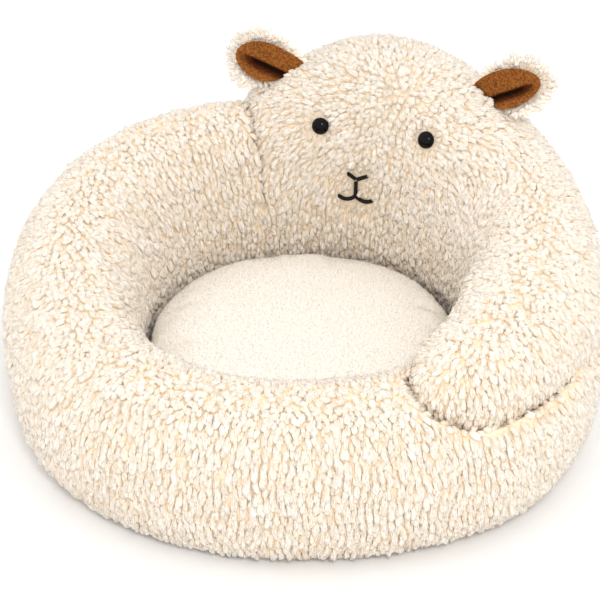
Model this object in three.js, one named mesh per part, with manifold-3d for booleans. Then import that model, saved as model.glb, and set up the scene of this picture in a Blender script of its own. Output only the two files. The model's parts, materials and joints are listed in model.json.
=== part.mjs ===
// A round plush pet bed in the shape of a lamb that hugs its own cushion.
// A stuffed bolster stands round the left and the front. The lamb's head, flank and arm
// complete the ring, and the arm lies on the front of the bolster. A loose round cushion
// fills the well. Millimetres, +Z up, front towards -Y, origin on the floor below the well's centre.
import * as THREE from 'three';
import { LoftGeometry } from 'three/addons/geometries/LoftGeometry.js';
import { mergeVertices } from 'three/addons/utils/BufferGeometryUtils.js';
import Module from 'manifold-3d';

const wasm = await Module();
wasm.setup();

// ---- Driving dimensions ----

const GAP = 0.4;             // between pieces that touch
const PLUSH = 6;             // pile fabric, backing and pressed pile together
const SWING_ROOM = 1.2;      // spare room round the arm as it lifts
const TUBE_MIDDLE = 230;     // radius of the ring's middle line

const BASE = { radius: 264, thickness: 1.6 };
const PAD = { radius: 155, thickness: 20 };
const WELL_FLOOR = { radius: 157, thickness: 1.2 };
const CUSHION = { radius: 157.5, seam: 59, rise: 29, drop: 39, cover: 2.5, roundTop: 3.2, roundBottom: 4.5 };
const ZIP = { length: 236, channel: 5, tapeInner: 2.4, tapeOuter: 12, tape: 1, coil: 2, coilHeight: 2.4 };
const SLIDER = { length: 14, halfWidth: 4, plate: 1, flange: 1.4, pullLength: 22, pullHalfWidth: 3 };

const HEAD_AZIMUTH = 66;     // the head's middle, in degrees from +X towards +Y
const FLANK_AZIMUTH = 36;    // where the head's stuffing meets the flank's
const ARM_AZIMUTH = -29;     // where the arm bends up from the flank
const ARM_LIFT = 20;         // how far it lifts, in degrees
const EAR_FLAP = 30;         // how far each ear folds, in degrees

// Each row is a station of a tube that bends round the well:
// azimuth in degrees, top, underside, inner radius and outer radius.
const BOLSTER = {
  rows: [
    [97, 214, -5, 160, 298],
    [115, 220, -5, 160, 301],
    [140, 217, -5, 160, 302],
    [165, 204, -5, 160, 301],
    [182, 188, -5, 160, 298],
    [198, 168, -5, 165, 297],
    [215, 156, -5, 166, 302],
    [240, 154, -5, 163, 301],
    [270, 155, -5, 160, 297],
    [292, 155, -5, 160, 303],
    [312, 155, -5, 160, 313],
    [334, 155, -5, 160, 305],
    [363, 155, -5, 160, 298],
  ],
  roundTop: 2.15,
  roundFoot: 2.7,
  caps: [0, 0],
};
const LAMB = {
  rows: [
    [109, 216, -5, 160, 299],
    [102, 230, -5, 160, 300],
    [93, 258, -5, 160, 302],
    [82, 284, -5, 160, 303],
    [70, 297, -5, 160, 304],
    [58, 294, -5, 160, 305],
    [47, 280, -5, 161, 306],
    [36, 260, -5, 163, 306],
    [20, 236, -5, 164, 304],
    [2, 223, -5, 163, 299],
    [-14, 212, 58, 163, 298],
    [-25, 206, 104, 168, 298],
    [-36, 200, 104, 175, 297],
    [-52, 192, 106, 190, 294],
    [-66, 188, 110, 198, 290],
  ],
  roundTop: 2.3,
  roundFoot: 2.7,
  caps: [30, 56],
};

// Places on the lamb's inner wall, as azimuth in degrees and height.
const EYES = { left: [83.9, 219.3], right: [44.2, 226.8] };
const EYE = { radius: 9, height: 6, stem: 2, stemLength: 16, sink: 1, washer: 7, washerThick: 2, washerDepth: 6 };
const STITCHES = {
  nose_stitch_left: [[72.8, 171.8], [71.2, 169.4], [69.75, 166.7]],
  nose_stitch_right: [[64.9, 172.4], [66.9, 169.8], [68.95, 166.6]],
  philtrum_stitch: [[69.4, 164], [69.45, 156], [69.5, 148.6]],
  mouth_stitch_left: [[69.9, 146.4], [72.2, 141.7], [74.4, 141.7], [75.8, 144.4]],
  mouth_stitch_right: [[69.1, 146.4], [67, 142.2], [65, 142.2], [63.1, 145]],
};
const STITCH_RADIUS = 1.6;

// The ears stand on the crown: base ends as azimuths, from the head's middle outwards,
// the base's radius, and how far each ear's tip rises.
const EARS = { left: { base: [87, 101], radius: 231, side: -1, rise: 12 },
  right: { base: [45, 31], radius: 246, side: 1, rise: 25 } };
const EAR = { length: 70, width: 58, back: 5.5, padding: 2, lining: 1.2, inset: 0.76, start: 9,
  cup: 8, root: 3.2, lean: 32 };

// ---- Solids: three.js geometry in, three.js geometry out, with manifold-3d for the cuts ----

function solid(geometry) {
  const bare = new THREE.BufferGeometry();
  bare.setAttribute('position', geometry.getAttribute('position'));
  bare.setIndex(geometry.getIndex());
  const merged = mergeVertices(bare, 1e-3);
  const index = merged.index.array;
  const kept = [];
  for (let i = 0; i < index.length; i += 3) {
    const [a, b, c] = [index[i], index[i + 1], index[i + 2]];
    if (a !== b && b !== c && c !== a) kept.push(a, b, c);
  }
  const make = (triVerts) => new wasm.Manifold(new wasm.Mesh({
    numProp: 3,
    vertProperties: merged.attributes.position.array,
    triVerts: new Uint32Array(triVerts),
  }));
  const made = make(kept);
  if (made.volume() > 0) return made;
  for (let i = 0; i < kept.length; i += 3) {
    [kept[i + 1], kept[i + 2]] = [kept[i + 2], kept[i + 1]];
  }
  return make(kept);
}

function geometryOf(manifold) {
  const mesh = manifold.getMesh();
  const geometry = new THREE.BufferGeometry();
  geometry.setAttribute('position', new THREE.BufferAttribute(new Float32Array(mesh.vertProperties), 3));
  geometry.setIndex(new THREE.BufferAttribute(new Uint32Array(mesh.triVerts), 1));
  geometry.computeVertexNormals();
  return geometry;
}

// A solid through closed sections, which are turned to run counterclockwise seen from its end.
function loft(sections) {
  const centre = (points) => points.reduce((sum, p) => sum.add(p), new THREE.Vector3()).divideScalar(points.length);
  const along = centre(sections[1]).sub(centre(sections[0]));
  const normal = new THREE.Vector3();
  sections[1].forEach((p, i, points) => normal.add(p.clone().cross(points[(i + 1) % points.length])));
  if (normal.dot(along) < 0) sections.forEach((points) => points.reverse());
  return solid(new LoftGeometry(sections, { capStart: true, capEnd: true }));
}

// The biggest body of a cut, which leaves slivers behind.
const largest = (manifold) => manifold.decompose().sort((a, b) => b.volume() - a.volume())[0];

const box = (low, high) => solid(new THREE.BoxGeometry(high[0] - low[0], high[1] - low[1], high[2] - low[2])
  .translate((low[0] + high[0]) / 2, (low[1] + high[1]) / 2, (low[2] + high[2]) / 2));

// A profile of [radius, height] points turned about the Z axis.
const turned = (profile, segments) => solid(new THREE.LatheGeometry(
  profile.map(([radius, height]) => new THREE.Vector2(radius, height)), segments).rotateX(Math.PI / 2));

const disc = (radius, low, high, segments = 48) =>
  turned([[0, low], [radius, low], [radius, high], [0, high]], segments);

// A solid taken from its own frame, X, Y and Z directions and an origin, into the bed's.
const placed = (manifold, matrix) => manifold.transform(matrix.toArray());

const radians = THREE.MathUtils.degToRad;

// The space that a solid sweeps as it turns about an axis through a point, in a few steps.
function swept(manifold, point, axis, degrees, steps) {
  const there = new THREE.Matrix4().makeTranslation(point);
  const back = new THREE.Matrix4().makeTranslation(point.clone().negate());
  let space = manifold;
  for (let k = 1; k <= steps; k++) {
    const turn = new THREE.Matrix4().makeRotationAxis(axis, radians((degrees * k) / steps));
    space = space.add(placed(manifold, there.clone().multiply(turn).multiply(back)));
  }
  return space;
}

// ---- Tubes round the well ----

const DEGREES_PER_MM = 180 / (Math.PI * TUBE_MIDDLE);

const polar = (radius, azimuth, height) =>
  new THREE.Vector3(radius * Math.cos(radians(azimuth)), radius * Math.sin(radians(azimuth)), height);

// The values of a row at any azimuth, on a smooth curve through the rows.
function stationAt(tube, azimuth) {
  const rows = tube.rows;
  const sign = Math.sign(rows[1][0] - rows[0][0]);
  let i = 0;
  while (i < rows.length - 2 && sign * (azimuth - rows[i + 1][0]) > 0) i++;
  const [before, from, to, after] = [-1, 0, 1, 2].map((k) =>
    rows[THREE.MathUtils.clamp(i + k, 0, rows.length - 1)]);
  const t = THREE.MathUtils.clamp((azimuth - from[0]) / (to[0] - from[0]), 0, 1);
  const value = (k) => {
    const slope = (a, b) => (b[0] === a[0] ? 0 : (b[k] - a[k]) / (b[0] - a[0]));
    const span = to[0] - from[0];
    const leaving = slope(before, to) * span;
    const arriving = slope(from, after) * span;
    return (2 * t ** 3 - 3 * t ** 2 + 1) * from[k] + (t ** 3 - 2 * t ** 2 + t) * leaving
      + (3 * t ** 2 - 2 * t ** 3) * to[k] + (t ** 3 - t ** 2) * arriving;
  };
  return { top: value(1), foot: value(2), inner: value(3), outer: value(4) };
}

// One closed section: a rounded oblong whose crown and foot have their own roundness.
function sectionAt(tube, azimuth, grow, scale, sides) {
  const s = stationAt(tube, azimuth);
  const middle = (s.inner + s.outer) / 2;
  const level = (s.top + s.foot) / 2;
  const halfWidth = Math.max(((s.outer - s.inner) / 2 + grow) * scale, 0.5);
  const halfHeight = Math.max(((s.top - s.foot) / 2 + grow) * scale, 0.5);
  return Array.from({ length: sides }, (_, i) => {
    const angle = (i / sides) * 2 * Math.PI;
    const power = 2 / (Math.sin(angle) >= 0 ? tube.roundTop : tube.roundFoot);
    const across = Math.sign(Math.cos(angle)) * Math.abs(Math.cos(angle)) ** power;
    const up = Math.sign(Math.sin(angle)) * Math.abs(Math.sin(angle)) ** power;
    return polar(middle + halfWidth * across, azimuth, level + halfHeight * up);
  });
}

// The stations of a rounded end, as azimuth and scale, from its tip towards the tube.
function capStations(tip, direction, length) {
  const steps = 5;
  return Array.from({ length: steps }, (_, k) => {
    const turn = ((k + 0.35) / steps) * (Math.PI / 2);
    return [tip + direction * (1 - Math.cos(turn)) * length * DEGREES_PER_MM, Math.sin(turn)];
  });
}

// The tube's solid, grown or shrunk on every side, with rounded ends where the tube has them.
function tubeSolid(tube, grow, steps, sides) {
  const first = tube.rows[0][0];
  const last = tube.rows[tube.rows.length - 1][0];
  const direction = Math.sign(last - first);
  const start = first - direction * grow * DEGREES_PER_MM;
  const end = last + direction * grow * DEGREES_PER_MM;
  const [startCap, endCap] = tube.caps.map((length) => (length ? Math.max(length + grow, 1) : 0));
  const from = start + direction * startCap * DEGREES_PER_MM;
  const to = end - direction * endCap * DEGREES_PER_MM;
  const stations = startCap ? capStations(start, direction, startCap) : [];
  for (let k = 0; k <= steps; k++) stations.push([from + ((to - from) * k) / steps, 1]);
  if (endCap) stations.push(...capStations(end, -direction, endCap).reverse());
  return loft(stations.map(([azimuth, scale]) => sectionAt(tube, azimuth, grow, scale, sides)));
}

// Everything above the base panel.
const FLOOR = BASE.thickness + GAP;
const REACH = 800;
const ABOVE_FLOOR = box([-REACH, -REACH, FLOOR], [REACH, REACH, REACH]);

// Everything on the arm's side of a radial plane, from a clearance onwards.
function beyond(azimuth, clearance) {
  const half = box([-REACH, -REACH, -REACH], [REACH, -clearance, REACH]);
  return placed(half, new THREE.Matrix4().makeRotationZ(radians(azimuth)));
}

// The height of the lamb's crown at an azimuth, over any radius.
function onCrown(tube, azimuth, radius) {
  const s = stationAt(tube, azimuth);
  const across = (radius - (s.inner + s.outer) / 2) / ((s.outer - s.inner) / 2);
  const up = (1 - Math.abs(across) ** tube.roundTop) ** (1 / tube.roundTop);
  return polar(radius, azimuth, (s.top + s.foot) / 2 + ((s.top - s.foot) / 2) * up);
}

const armSide = (clearance) => beyond(ARM_AZIMUTH, clearance);

// The arm bends about a line across its crown, which lies just clear of the cloth.
const ARM_HINGE = {
  point: onCrown(LAMB, ARM_AZIMUTH, TUBE_MIDDLE + 3).add(new THREE.Vector3(0, 0, 1)),
  axis: polar(-1, ARM_AZIMUTH, 0),
};

// What the lamb takes, grown by a clearance, with the room for its arm to swing.
function lambNeighbour(clearance) {
  const arm = tubeSolid(LAMB, clearance + SWING_ROOM, 18, 14).intersect(armSide(0));
  return tubeSolid(LAMB, clearance, 26, 20)
    .add(swept(arm, ARM_HINGE.point, ARM_HINGE.axis, ARM_LIFT, 6));
}

// A tube's outside and its hollow, both cut clear of a neighbouring tube and of the base panel.
const lambOuter = tubeSolid(LAMB, 0, 26, 20);
const lambInner = tubeSolid(LAMB, -PLUSH, 20, 12);
const lambFilling = tubeSolid(LAMB, -PLUSH - GAP, 20, 12).intersect(ABOVE_FLOOR);
const bolsterOuter = tubeSolid(BOLSTER, 0, 34, 18).subtract(lambNeighbour(GAP));
const bolsterInner = tubeSolid(BOLSTER, -PLUSH, 24, 12).subtract(lambNeighbour(GAP + PLUSH));

const bolsterCover = () => largest(bolsterOuter.subtract(bolsterInner).intersect(ABOVE_FLOOR));

function bolsterFilling() {
  const inside = tubeSolid(BOLSTER, -PLUSH - GAP, 24, 12).subtract(lambNeighbour(2 * GAP + PLUSH));
  return largest(inside.intersect(ABOVE_FLOOR));
}

// ---- The face ----

// A point on the tube's inner wall, and the way out of it.
function onInnerWall(tube, azimuth, height) {
  const s = stationAt(tube, azimuth);
  const level = (s.top + s.foot) / 2;
  const rise = (height - level) / ((s.top - s.foot) / 2);
  const power = rise >= 0 ? tube.roundTop : tube.roundFoot;
  const across = Math.max(1 - Math.abs(rise) ** power, 0) ** (1 / power);
  return polar((s.inner + s.outer) / 2 - ((s.outer - s.inner) / 2) * across, azimuth, height);
}

function wallFrame(tube, azimuth, height) {
  const here = onInnerWall(tube, azimuth, height);
  const along = onInnerWall(tube, azimuth + 0.2, height).sub(onInnerWall(tube, azimuth - 0.2, height));
  const up = onInnerWall(tube, azimuth, height + 0.5).sub(onInnerWall(tube, azimuth, height - 0.5));
  const normal = new THREE.Vector3().crossVectors(up, along).normalize();
  if (normal.dot(polar(1, azimuth, 0)) > 0) normal.negate();
  const side = new THREE.Vector3().crossVectors(up, normal).normalize();
  const matrix = new THREE.Matrix4().makeBasis(side, new THREE.Vector3().crossVectors(normal, side), normal);
  return { here, normal, matrix };
}

// An eye's own frame has its dome's back at the origin and looks along +Z.
function eyeMatrix(place) {
  const { here, normal, matrix } = wallFrame(LAMB, ...place);
  return matrix.setPosition(here.addScaledVector(normal, -EYE.sink));
}

function eye(place) {
  const dome = Array.from({ length: 6 }, (_, k) => {
    const turn = (k / 5) * (Math.PI / 2);
    return [EYE.radius * Math.cos(turn), EYE.height * Math.sin(turn)];
  });
  const profile = [[0, -EYE.stemLength], [EYE.stem, -EYE.stemLength], [EYE.stem, 0], ...dome];
  return placed(turned(profile, 20), eyeMatrix(place));
}

function washer(place) {
  const [low, high] = [-EYE.washerDepth - EYE.washerThick, -EYE.washerDepth];
  const ring = disc(EYE.washer, low, high, 20).subtract(disc(EYE.stem + GAP, low - 1, high + 1, 20));
  return placed(ring, eyeMatrix(place));
}

// What an eye needs cut from the cover, and from the stuffing behind it.
function eyeSeat(place) {
  const seat = disc(EYE.radius + GAP, -GAP, EYE.height, 24)
    .add(disc(EYE.stem + GAP, -EYE.stemLength, 1, 20))
    .add(disc(EYE.washer + 1, -EYE.stemLength, -EYE.washerDepth + GAP, 20));
  return placed(seat, eyeMatrix(place));
}

const eyePocket = (place) => placed(disc(EYE.washer + 1, -EYE.stemLength - 1, 1, 20), eyeMatrix(place));

// A thread laid on the face through the given places, lengthened at both ends by a spare.
function thread(places, radius, spare) {
  const points = places.map((place) => {
    const { here, normal } = wallFrame(LAMB, ...place);
    return here.addScaledVector(normal, STITCH_RADIUS / 2);
  });
  const last = points.length - 1;
  points[0].add(points[0].clone().sub(points[1]).setLength(spare));
  points[last].add(points[last].clone().sub(points[last - 1]).setLength(spare));
  const section = new THREE.Shape().absarc(0, 0, radius, 0, 2 * Math.PI);
  return solid(new THREE.ExtrudeGeometry(section, {
    steps: 3 * last,
    curveSegments: 5,
    extrudePath: new THREE.CatmullRomCurve3(points),
  }));
}

// ---- The ears ----

// The ear's base line on the crown, its long axis, the way its lining faces, and across it.
function earFrame({ base, radius, side, rise }) {
  const [near, far] = base.map((azimuth) => onCrown(LAMB, azimuth, radius));
  const out = polar(side, HEAD_AZIMUTH - 90, 0);
  const along = out.multiplyScalar(Math.cos(radians(rise))).setZ(Math.sin(radians(rise)));
  const facing = polar(-Math.cos(radians(EAR.lean)), HEAD_AZIMUTH, Math.sin(radians(EAR.lean)));
  facing.addScaledVector(along, -facing.dot(along)).normalize();
  const baseLine = far.clone().sub(near).normalize();
  const across = new THREE.Vector3().crossVectors(facing, along);
  if (across.dot(baseLine) < 0) across.negate();
  const sag = onCrown(LAMB, (base[0] + base[1]) / 2, radius);
  const centre = near.add(far).multiplyScalar(0.5);
  centre.z = (centre.z + sag.z) / 2;
  return { centre, baseLine, along, facing, across };
}

// One layer of an ear between two offsets from its cupped middle surface.
// The outline is a leaf with a broad base; inset narrows it and start cuts its base off.
function earLayer(frame, [backOffset, frontOffset], inset, start) {
  const rows = 9;
  const columns = 6;
  const tip = EAR.length * (inset < 1 ? inset + 0.14 : 1);
  const sections = Array.from({ length: rows + 1 }, (_, i) => {
    const t = Math.sin((i / rows) * (Math.PI / 2));
    const reach = start + (tip - start) * t;
    const part = reach / tip;
    const leaf = Math.sqrt(Math.max(1 - part ** 3.2, 0)) * (0.8 + 0.42 * Math.sin(part * 2.2));
    const halfWidth = Math.max((EAR.width / 2) * inset * leaf, 0.6);
    const turn = THREE.MathUtils.smoothstep(reach / EAR.length, 0, 0.5);
    const fullness = 0.3 + 0.7 * THREE.MathUtils.smoothstep(reach, 0, 14);
    const across = frame.baseLine.clone().lerp(frame.across, turn).normalize();
    const out = frame.facing.clone().addScaledVector(across, -frame.facing.dot(across)).normalize();
    const point = (share, offset) => {
      const edge = Math.sqrt(Math.max(1 - Math.abs(share) ** 3, 0));
      const middle = (backOffset + frontOffset) / 2;
      const cupped = EAR.cup * turn * ((share * halfWidth) / (EAR.width / 2)) ** 2;
      const raised = cupped + middle * fullness + (offset - middle) * fullness * Math.max(edge, 0.2);
      return frame.centre.clone().addScaledVector(frame.along, reach)
        .addScaledVector(across, share * halfWidth).addScaledVector(out, raised);
    };
    const shares = Array.from({ length: columns + 1 }, (_, j) => -1 + (2 * j) / columns);
    return [...shares.map((share) => point(share, frontOffset)),
      ...shares.reverse().map((share) => point(share, backOffset))];
  });
  return loft(sections);
}

// A round bar along the ear's base line: the sewn root, or the pocket that it turns in.
function earRoot(frame, radius, length) {
  const bar = solid(new THREE.CylinderGeometry(radius, radius, length, 16));
  const side = new THREE.Vector3().crossVectors(frame.baseLine, frame.along).normalize();
  const basis = new THREE.Matrix4().makeBasis(side, frame.baseLine,
    new THREE.Vector3().crossVectors(side, frame.baseLine));
  return placed(bar, basis.setPosition(frame.centre));
}

function ear(frame) {
  const rootLength = EAR.width * 0.78;
  const back = earLayer(frame, [-EAR.back, 0], 1, 0.5).add(earRoot(frame, EAR.root, rootLength));
  const paddingBack = 2 * GAP;
  const liningBack = paddingBack + EAR.padding + 2 * GAP;
  return {
    back,
    padding: earLayer(frame, [paddingBack, paddingBack + EAR.padding], EAR.inset - 0.03, EAR.start + 1),
    lining: earLayer(frame, [liningBack, liningBack + EAR.lining], EAR.inset, EAR.start),
    pocket: earRoot(frame, EAR.root + 2 * GAP, rootLength + 4 * GAP),
    room: swept(back, frame.centre, frame.baseLine, EAR_FLAP + 2, 4),
  };
}

// ---- The lamb: head and flank, and the arm that bends up from the flank ----

const earFrames = { left: earFrame(EARS.left), right: earFrame(EARS.right) };
const ears = { left: ear(earFrames.left), right: ear(earFrames.right) };

function lambCover() {
  let cover = lambOuter.subtract(lambInner).intersect(ABOVE_FLOOR).subtract(armSide(-GAP / 2));
  for (const place of Object.values(EYES)) cover = cover.subtract(eyeSeat(place));
  for (const places of Object.values(STITCHES)) cover = cover.subtract(thread(places, STITCH_RADIUS + GAP, 1));
  for (const { pocket, room } of Object.values(ears)) cover = cover.subtract(pocket).subtract(room);
  return largest(cover);
}

function headFilling() {
  let filling = lambFilling.subtract(beyond(FLANK_AZIMUTH, -GAP / 2));
  for (const place of Object.values(EYES)) filling = filling.subtract(eyePocket(place));
  return largest(filling);
}

const flankFilling = () =>
  largest(lambFilling.intersect(beyond(FLANK_AZIMUTH, GAP / 2)).subtract(armSide(-GAP / 2)));
const armCover = () => largest(lambOuter.subtract(lambInner).intersect(armSide(GAP / 2)));
const armFilling = () => largest(lambFilling.intersect(armSide(GAP / 2)));

// ---- The cushion and its zip, and the floor of the well ----

const UNDERSIDE = FLOOR + PAD.thickness + GAP + WELL_FLOOR.thickness + GAP;
const TAPE_LEVEL = UNDERSIDE + CUSHION.cover + GAP;

// Half of the cushion's outline, shrunk by an amount: the upper or the lower dish.
function cushionHalf(shrink, upper) {
  const power = upper ? CUSHION.roundTop : CUSHION.roundBottom;
  const rise = (upper ? CUSHION.rise : -CUSHION.drop) * (1 - shrink / CUSHION.rise);
  const steps = 6;
  const rim = Array.from({ length: steps + 1 }, (_, k) => {
    const turn = (k / steps) * (Math.PI / 2);
    return [(CUSHION.radius - shrink) * Math.cos(turn) ** (2 / power),
      CUSHION.seam + rise * Math.sin(turn) ** (2 / power)];
  });
  rim[steps][0] = 0;
  return turned([[0, CUSHION.seam], ...rim], 40);
}

const aboveWellFloor = (clearance) => box([-REACH, -REACH, UNDERSIDE + clearance], [REACH, REACH, REACH]);
const SEAM_GAP = box([-REACH, -REACH, CUSHION.seam - GAP / 2], [REACH, REACH, CUSHION.seam + GAP / 2]);

const cushionTopCover = () => cushionHalf(0, true).subtract(cushionHalf(CUSHION.cover, true)).subtract(SEAM_GAP);

// The underside's dish, split by the zip's channel; side is 1 for the back half and -1 for the front.
function cushionBottomCover(side) {
  const dish = cushionHalf(0, false).intersect(aboveWellFloor(0))
    .subtract(cushionHalf(CUSHION.cover, false).intersect(aboveWellFloor(CUSHION.cover)));
  const half = ZIP.length / 2 + SLIDER.length + SLIDER.pullLength / 2;
  const kept = side > 0 ? box([-REACH, GAP / 2, -REACH], [REACH, REACH, REACH])
    : box([-REACH, -REACH, -REACH], [REACH, -GAP / 2, REACH]);
  const channel = box([-half, -ZIP.channel, 0], [half, ZIP.channel, TAPE_LEVEL]);
  return largest(dish.intersect(kept).subtract(channel).subtract(SEAM_GAP));
}

function cushionFilling() {
  const shrink = CUSHION.cover + GAP;
  const whole = cushionHalf(shrink, true).add(cushionHalf(shrink, false)).intersect(aboveWellFloor(shrink));
  const groove = [ZIP.length / 2 + 2, ZIP.tapeOuter + 1];
  return whole.subtract(box([-groove[0], -groove[1], 0], [groove[0], groove[1], TAPE_LEVEL + 2 * ZIP.tape]));
}

function zipTape(side) {
  const [inner, outer] = [ZIP.tapeInner, ZIP.tapeOuter].map((y) => side * y);
  return box([-ZIP.length / 2, Math.min(inner, outer), TAPE_LEVEL],
    [ZIP.length / 2, Math.max(inner, outer), TAPE_LEVEL + ZIP.tape]);
}

const coilLow = TAPE_LEVEL + ZIP.tape - ZIP.coilHeight;
const zipCoil = () => box([-ZIP.length / 2, -ZIP.coil, coilLow], [ZIP.length / 2, ZIP.coil, TAPE_LEVEL + ZIP.tape]);

// The slider straddles the coil from below; at rest it closes the zip at the right-hand end.
const sliderEnd = ZIP.length / 2;
const sliderLow = UNDERSIDE + GAP / 2;

function zipSlider() {
  const start = sliderEnd - SLIDER.length;
  const top = sliderLow + SLIDER.plate;
  const plate = box([start, -SLIDER.halfWidth, sliderLow], [sliderEnd, SLIDER.halfWidth, top]);
  const flange = (side) => {
    const [a, b] = [side * SLIDER.halfWidth, side * (SLIDER.halfWidth - SLIDER.flange)];
    return box([start, Math.min(a, b), sliderLow], [sliderEnd, Math.max(a, b), TAPE_LEVEL - GAP]);
  };
  return plate.add(flange(1)).add(flange(-1));
}

const zipPull = () => box([sliderEnd + GAP, -SLIDER.pullHalfWidth, sliderLow],
  [sliderEnd + GAP + SLIDER.pullLength, SLIDER.pullHalfWidth, sliderLow + SLIDER.plate]);

// ---- The assembly ----

const IVORY_PLUSH = { color: 0xf4ead9, roughness: 0.95 };
const CREAM_FLEECE = { color: 0xf6ecda, roughness: 0.92 };
const BROWN_VELOUR = { color: 0x6e3f1d, roughness: 0.85 };
const WHITE_FIBRE = { color: 0xf2f1ec, roughness: 0.98 };
const BLACK_GLOSS = { color: 0x0c0b0b, roughness: 0.12 };
const BLACK_THREAD = { color: 0x16120f, roughness: 0.7 };
const CLEAR_PLASTIC = { color: 0xdcdcd6, roughness: 0.4 };
const GREY_FABRIC = { color: 0xb9b2a6, roughness: 0.9 };
const CREAM_TAPE = { color: 0xeee3cd, roughness: 0.8 };

const part = new THREE.Group();

function piece(name, manifold, look) {
  const mesh = new THREE.Mesh(geometryOf(manifold), new THREE.MeshStandardMaterial({ metalness: 0, ...look }));
  mesh.name = name;
  part.add(mesh);
}

piece('bolster_cover', bolsterCover(), IVORY_PLUSH);
piece('bolster_filling', bolsterFilling(), WHITE_FIBRE);
piece('lamb_cover', lambCover(), IVORY_PLUSH);
piece('head_filling', headFilling(), WHITE_FIBRE);
piece('flank_filling', flankFilling(), WHITE_FIBRE);
piece('arm_cover', armCover(), IVORY_PLUSH);
piece('arm_filling', armFilling(), WHITE_FIBRE);

for (const [side, place] of Object.entries(EYES)) {
  piece(`${side}_eye`, eye(place), BLACK_GLOSS);
  piece(`${side}_eye_washer`, washer(place), CLEAR_PLASTIC);
}
for (const [name, places] of Object.entries(STITCHES)) piece(name, thread(places, STITCH_RADIUS, 0), BLACK_THREAD);
for (const [side, layers] of Object.entries(ears)) {
  piece(`${side}_ear_back`, layers.back, IVORY_PLUSH);
  piece(`${side}_ear_padding`, layers.padding, WHITE_FIBRE);
  piece(`${side}_ear_lining`, layers.lining, BROWN_VELOUR);
}

piece('cushion_top_cover', cushionTopCover(), CREAM_FLEECE);
piece('cushion_bottom_cover_front', cushionBottomCover(-1), CREAM_FLEECE);
piece('cushion_bottom_cover_back', cushionBottomCover(1), CREAM_FLEECE);
piece('cushion_filling', cushionFilling(), WHITE_FIBRE);
piece('zip_tape_front', zipTape(-1), CREAM_TAPE);
piece('zip_tape_back', zipTape(1), CREAM_TAPE);
piece('zip_coil', zipCoil(), CREAM_TAPE);
piece('zip_slider', zipSlider(), CREAM_TAPE);
piece('zip_pull', zipPull(), CREAM_TAPE);

piece('base_panel', disc(BASE.radius, 0, BASE.thickness), GREY_FABRIC);
piece('base_pad', disc(PAD.radius, FLOOR, FLOOR + PAD.thickness), WHITE_FIBRE);
piece('well_floor', disc(WELL_FLOOR.radius, FLOOR + PAD.thickness + GAP, UNDERSIDE - GAP), CREAM_FLEECE);

export default part;
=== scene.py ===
import json
import math

import bmesh
import bpy
import numpy as np
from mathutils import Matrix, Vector, geometry
from mathutils.bvhtree import BVHTree


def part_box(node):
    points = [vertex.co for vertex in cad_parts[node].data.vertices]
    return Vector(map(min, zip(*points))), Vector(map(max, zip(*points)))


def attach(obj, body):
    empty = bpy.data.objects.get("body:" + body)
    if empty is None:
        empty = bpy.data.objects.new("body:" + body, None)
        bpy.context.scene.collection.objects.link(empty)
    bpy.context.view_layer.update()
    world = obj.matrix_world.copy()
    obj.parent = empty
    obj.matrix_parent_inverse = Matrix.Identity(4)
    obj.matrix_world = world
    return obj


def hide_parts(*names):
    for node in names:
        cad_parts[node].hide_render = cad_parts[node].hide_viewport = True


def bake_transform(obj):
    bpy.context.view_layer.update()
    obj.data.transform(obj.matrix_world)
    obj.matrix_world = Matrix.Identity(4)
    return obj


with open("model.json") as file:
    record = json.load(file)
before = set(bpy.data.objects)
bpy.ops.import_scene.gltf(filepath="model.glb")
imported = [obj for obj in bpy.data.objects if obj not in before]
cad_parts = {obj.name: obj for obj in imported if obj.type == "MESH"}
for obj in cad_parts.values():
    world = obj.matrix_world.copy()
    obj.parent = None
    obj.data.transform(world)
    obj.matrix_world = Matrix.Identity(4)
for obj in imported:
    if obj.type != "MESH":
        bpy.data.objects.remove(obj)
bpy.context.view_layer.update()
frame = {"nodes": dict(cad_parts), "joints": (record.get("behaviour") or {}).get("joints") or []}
nodes = frame["nodes"]

# ---- Driving values, in metres and degrees ----

MM = 0.001
UP = np.array([0.0, 0.0, 1.0])
CAMERA = {"elevation": 32, "distance": 1.8, "lens": 108, "target": (-0.003, 0, 0.110)}
VOXEL = 5 * MM            # of the remeshed skins
PILE_DEPTH = 2.6 * MM     # from the skin out to the CAD surface
JOIN_SMOOTHING = 70       # rounds, of the skin that fills the crease at the flank
JOIN_AZIMUTHS = (-30, 62)              # degrees, between which that skin lies
JOIN_RADIUS = 0.2         # beyond which that skin lies
JOIN_THICKNESS = 3 * MM
BEND_REACH = 35 * MM      # either side of the arm's hinge, where the pile and fuzz go to neither the root nor the arm

TUFT_SPACING = 4.0 * MM
TUFT_LENGTH = (15 * MM, -5.5 * MM)     # straight, and what curling adds
TUFT_WIDTH = (5.3 * MM, 1.3 * MM)
TUFT_PITCH = (19, 38)     # degrees off the skin at the root
TUFT_BEND = (-26, -72)    # degrees, from root to tip
EAR_TUFT_SPACING = 2.6 * MM
EAR_TUFT_WIDTH = 4.2 * MM
WHORL = np.array([0.100, 0.154, 0.262])   # where the forehead's pile parts
WHORL_REACH = (0.09, 0.20)                # fully radial within, hanging beyond
ROOT_DEPTH = 0.8 * MM     # of the tufts' roots under the skin
UNDERSIDE = -0.8          # an upward normal less than this faces down
PILE_START = 20 * MM      # above the floor, where pile grows even on an underside
FLOOR_GAP = 0.6 * MM      # that the lowest tufts keep above the floor
HANG_SLOPES = (0.03, 0.35)             # sines of the slopes where pile starts to hang, and hangs
CURL_SLOPES = (0.25, 0.8)              # and where it stops curling
STRAY = 0.4               # how far chance turns a tuft's way
ROOT_SHADE_HEIGHT = 6 * MM      # above its root, where a tuft's painted root shade has faded and it is palest
ROW_WIDTH = 6.5 * MM      # of the ropes of locks that hang on the walls
ROW_PULL = 0.5            # of the way to its row, that a root is drawn
WALL_RADII = (0.16, 0.27)              # of the ring's inner and outer walls
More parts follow.
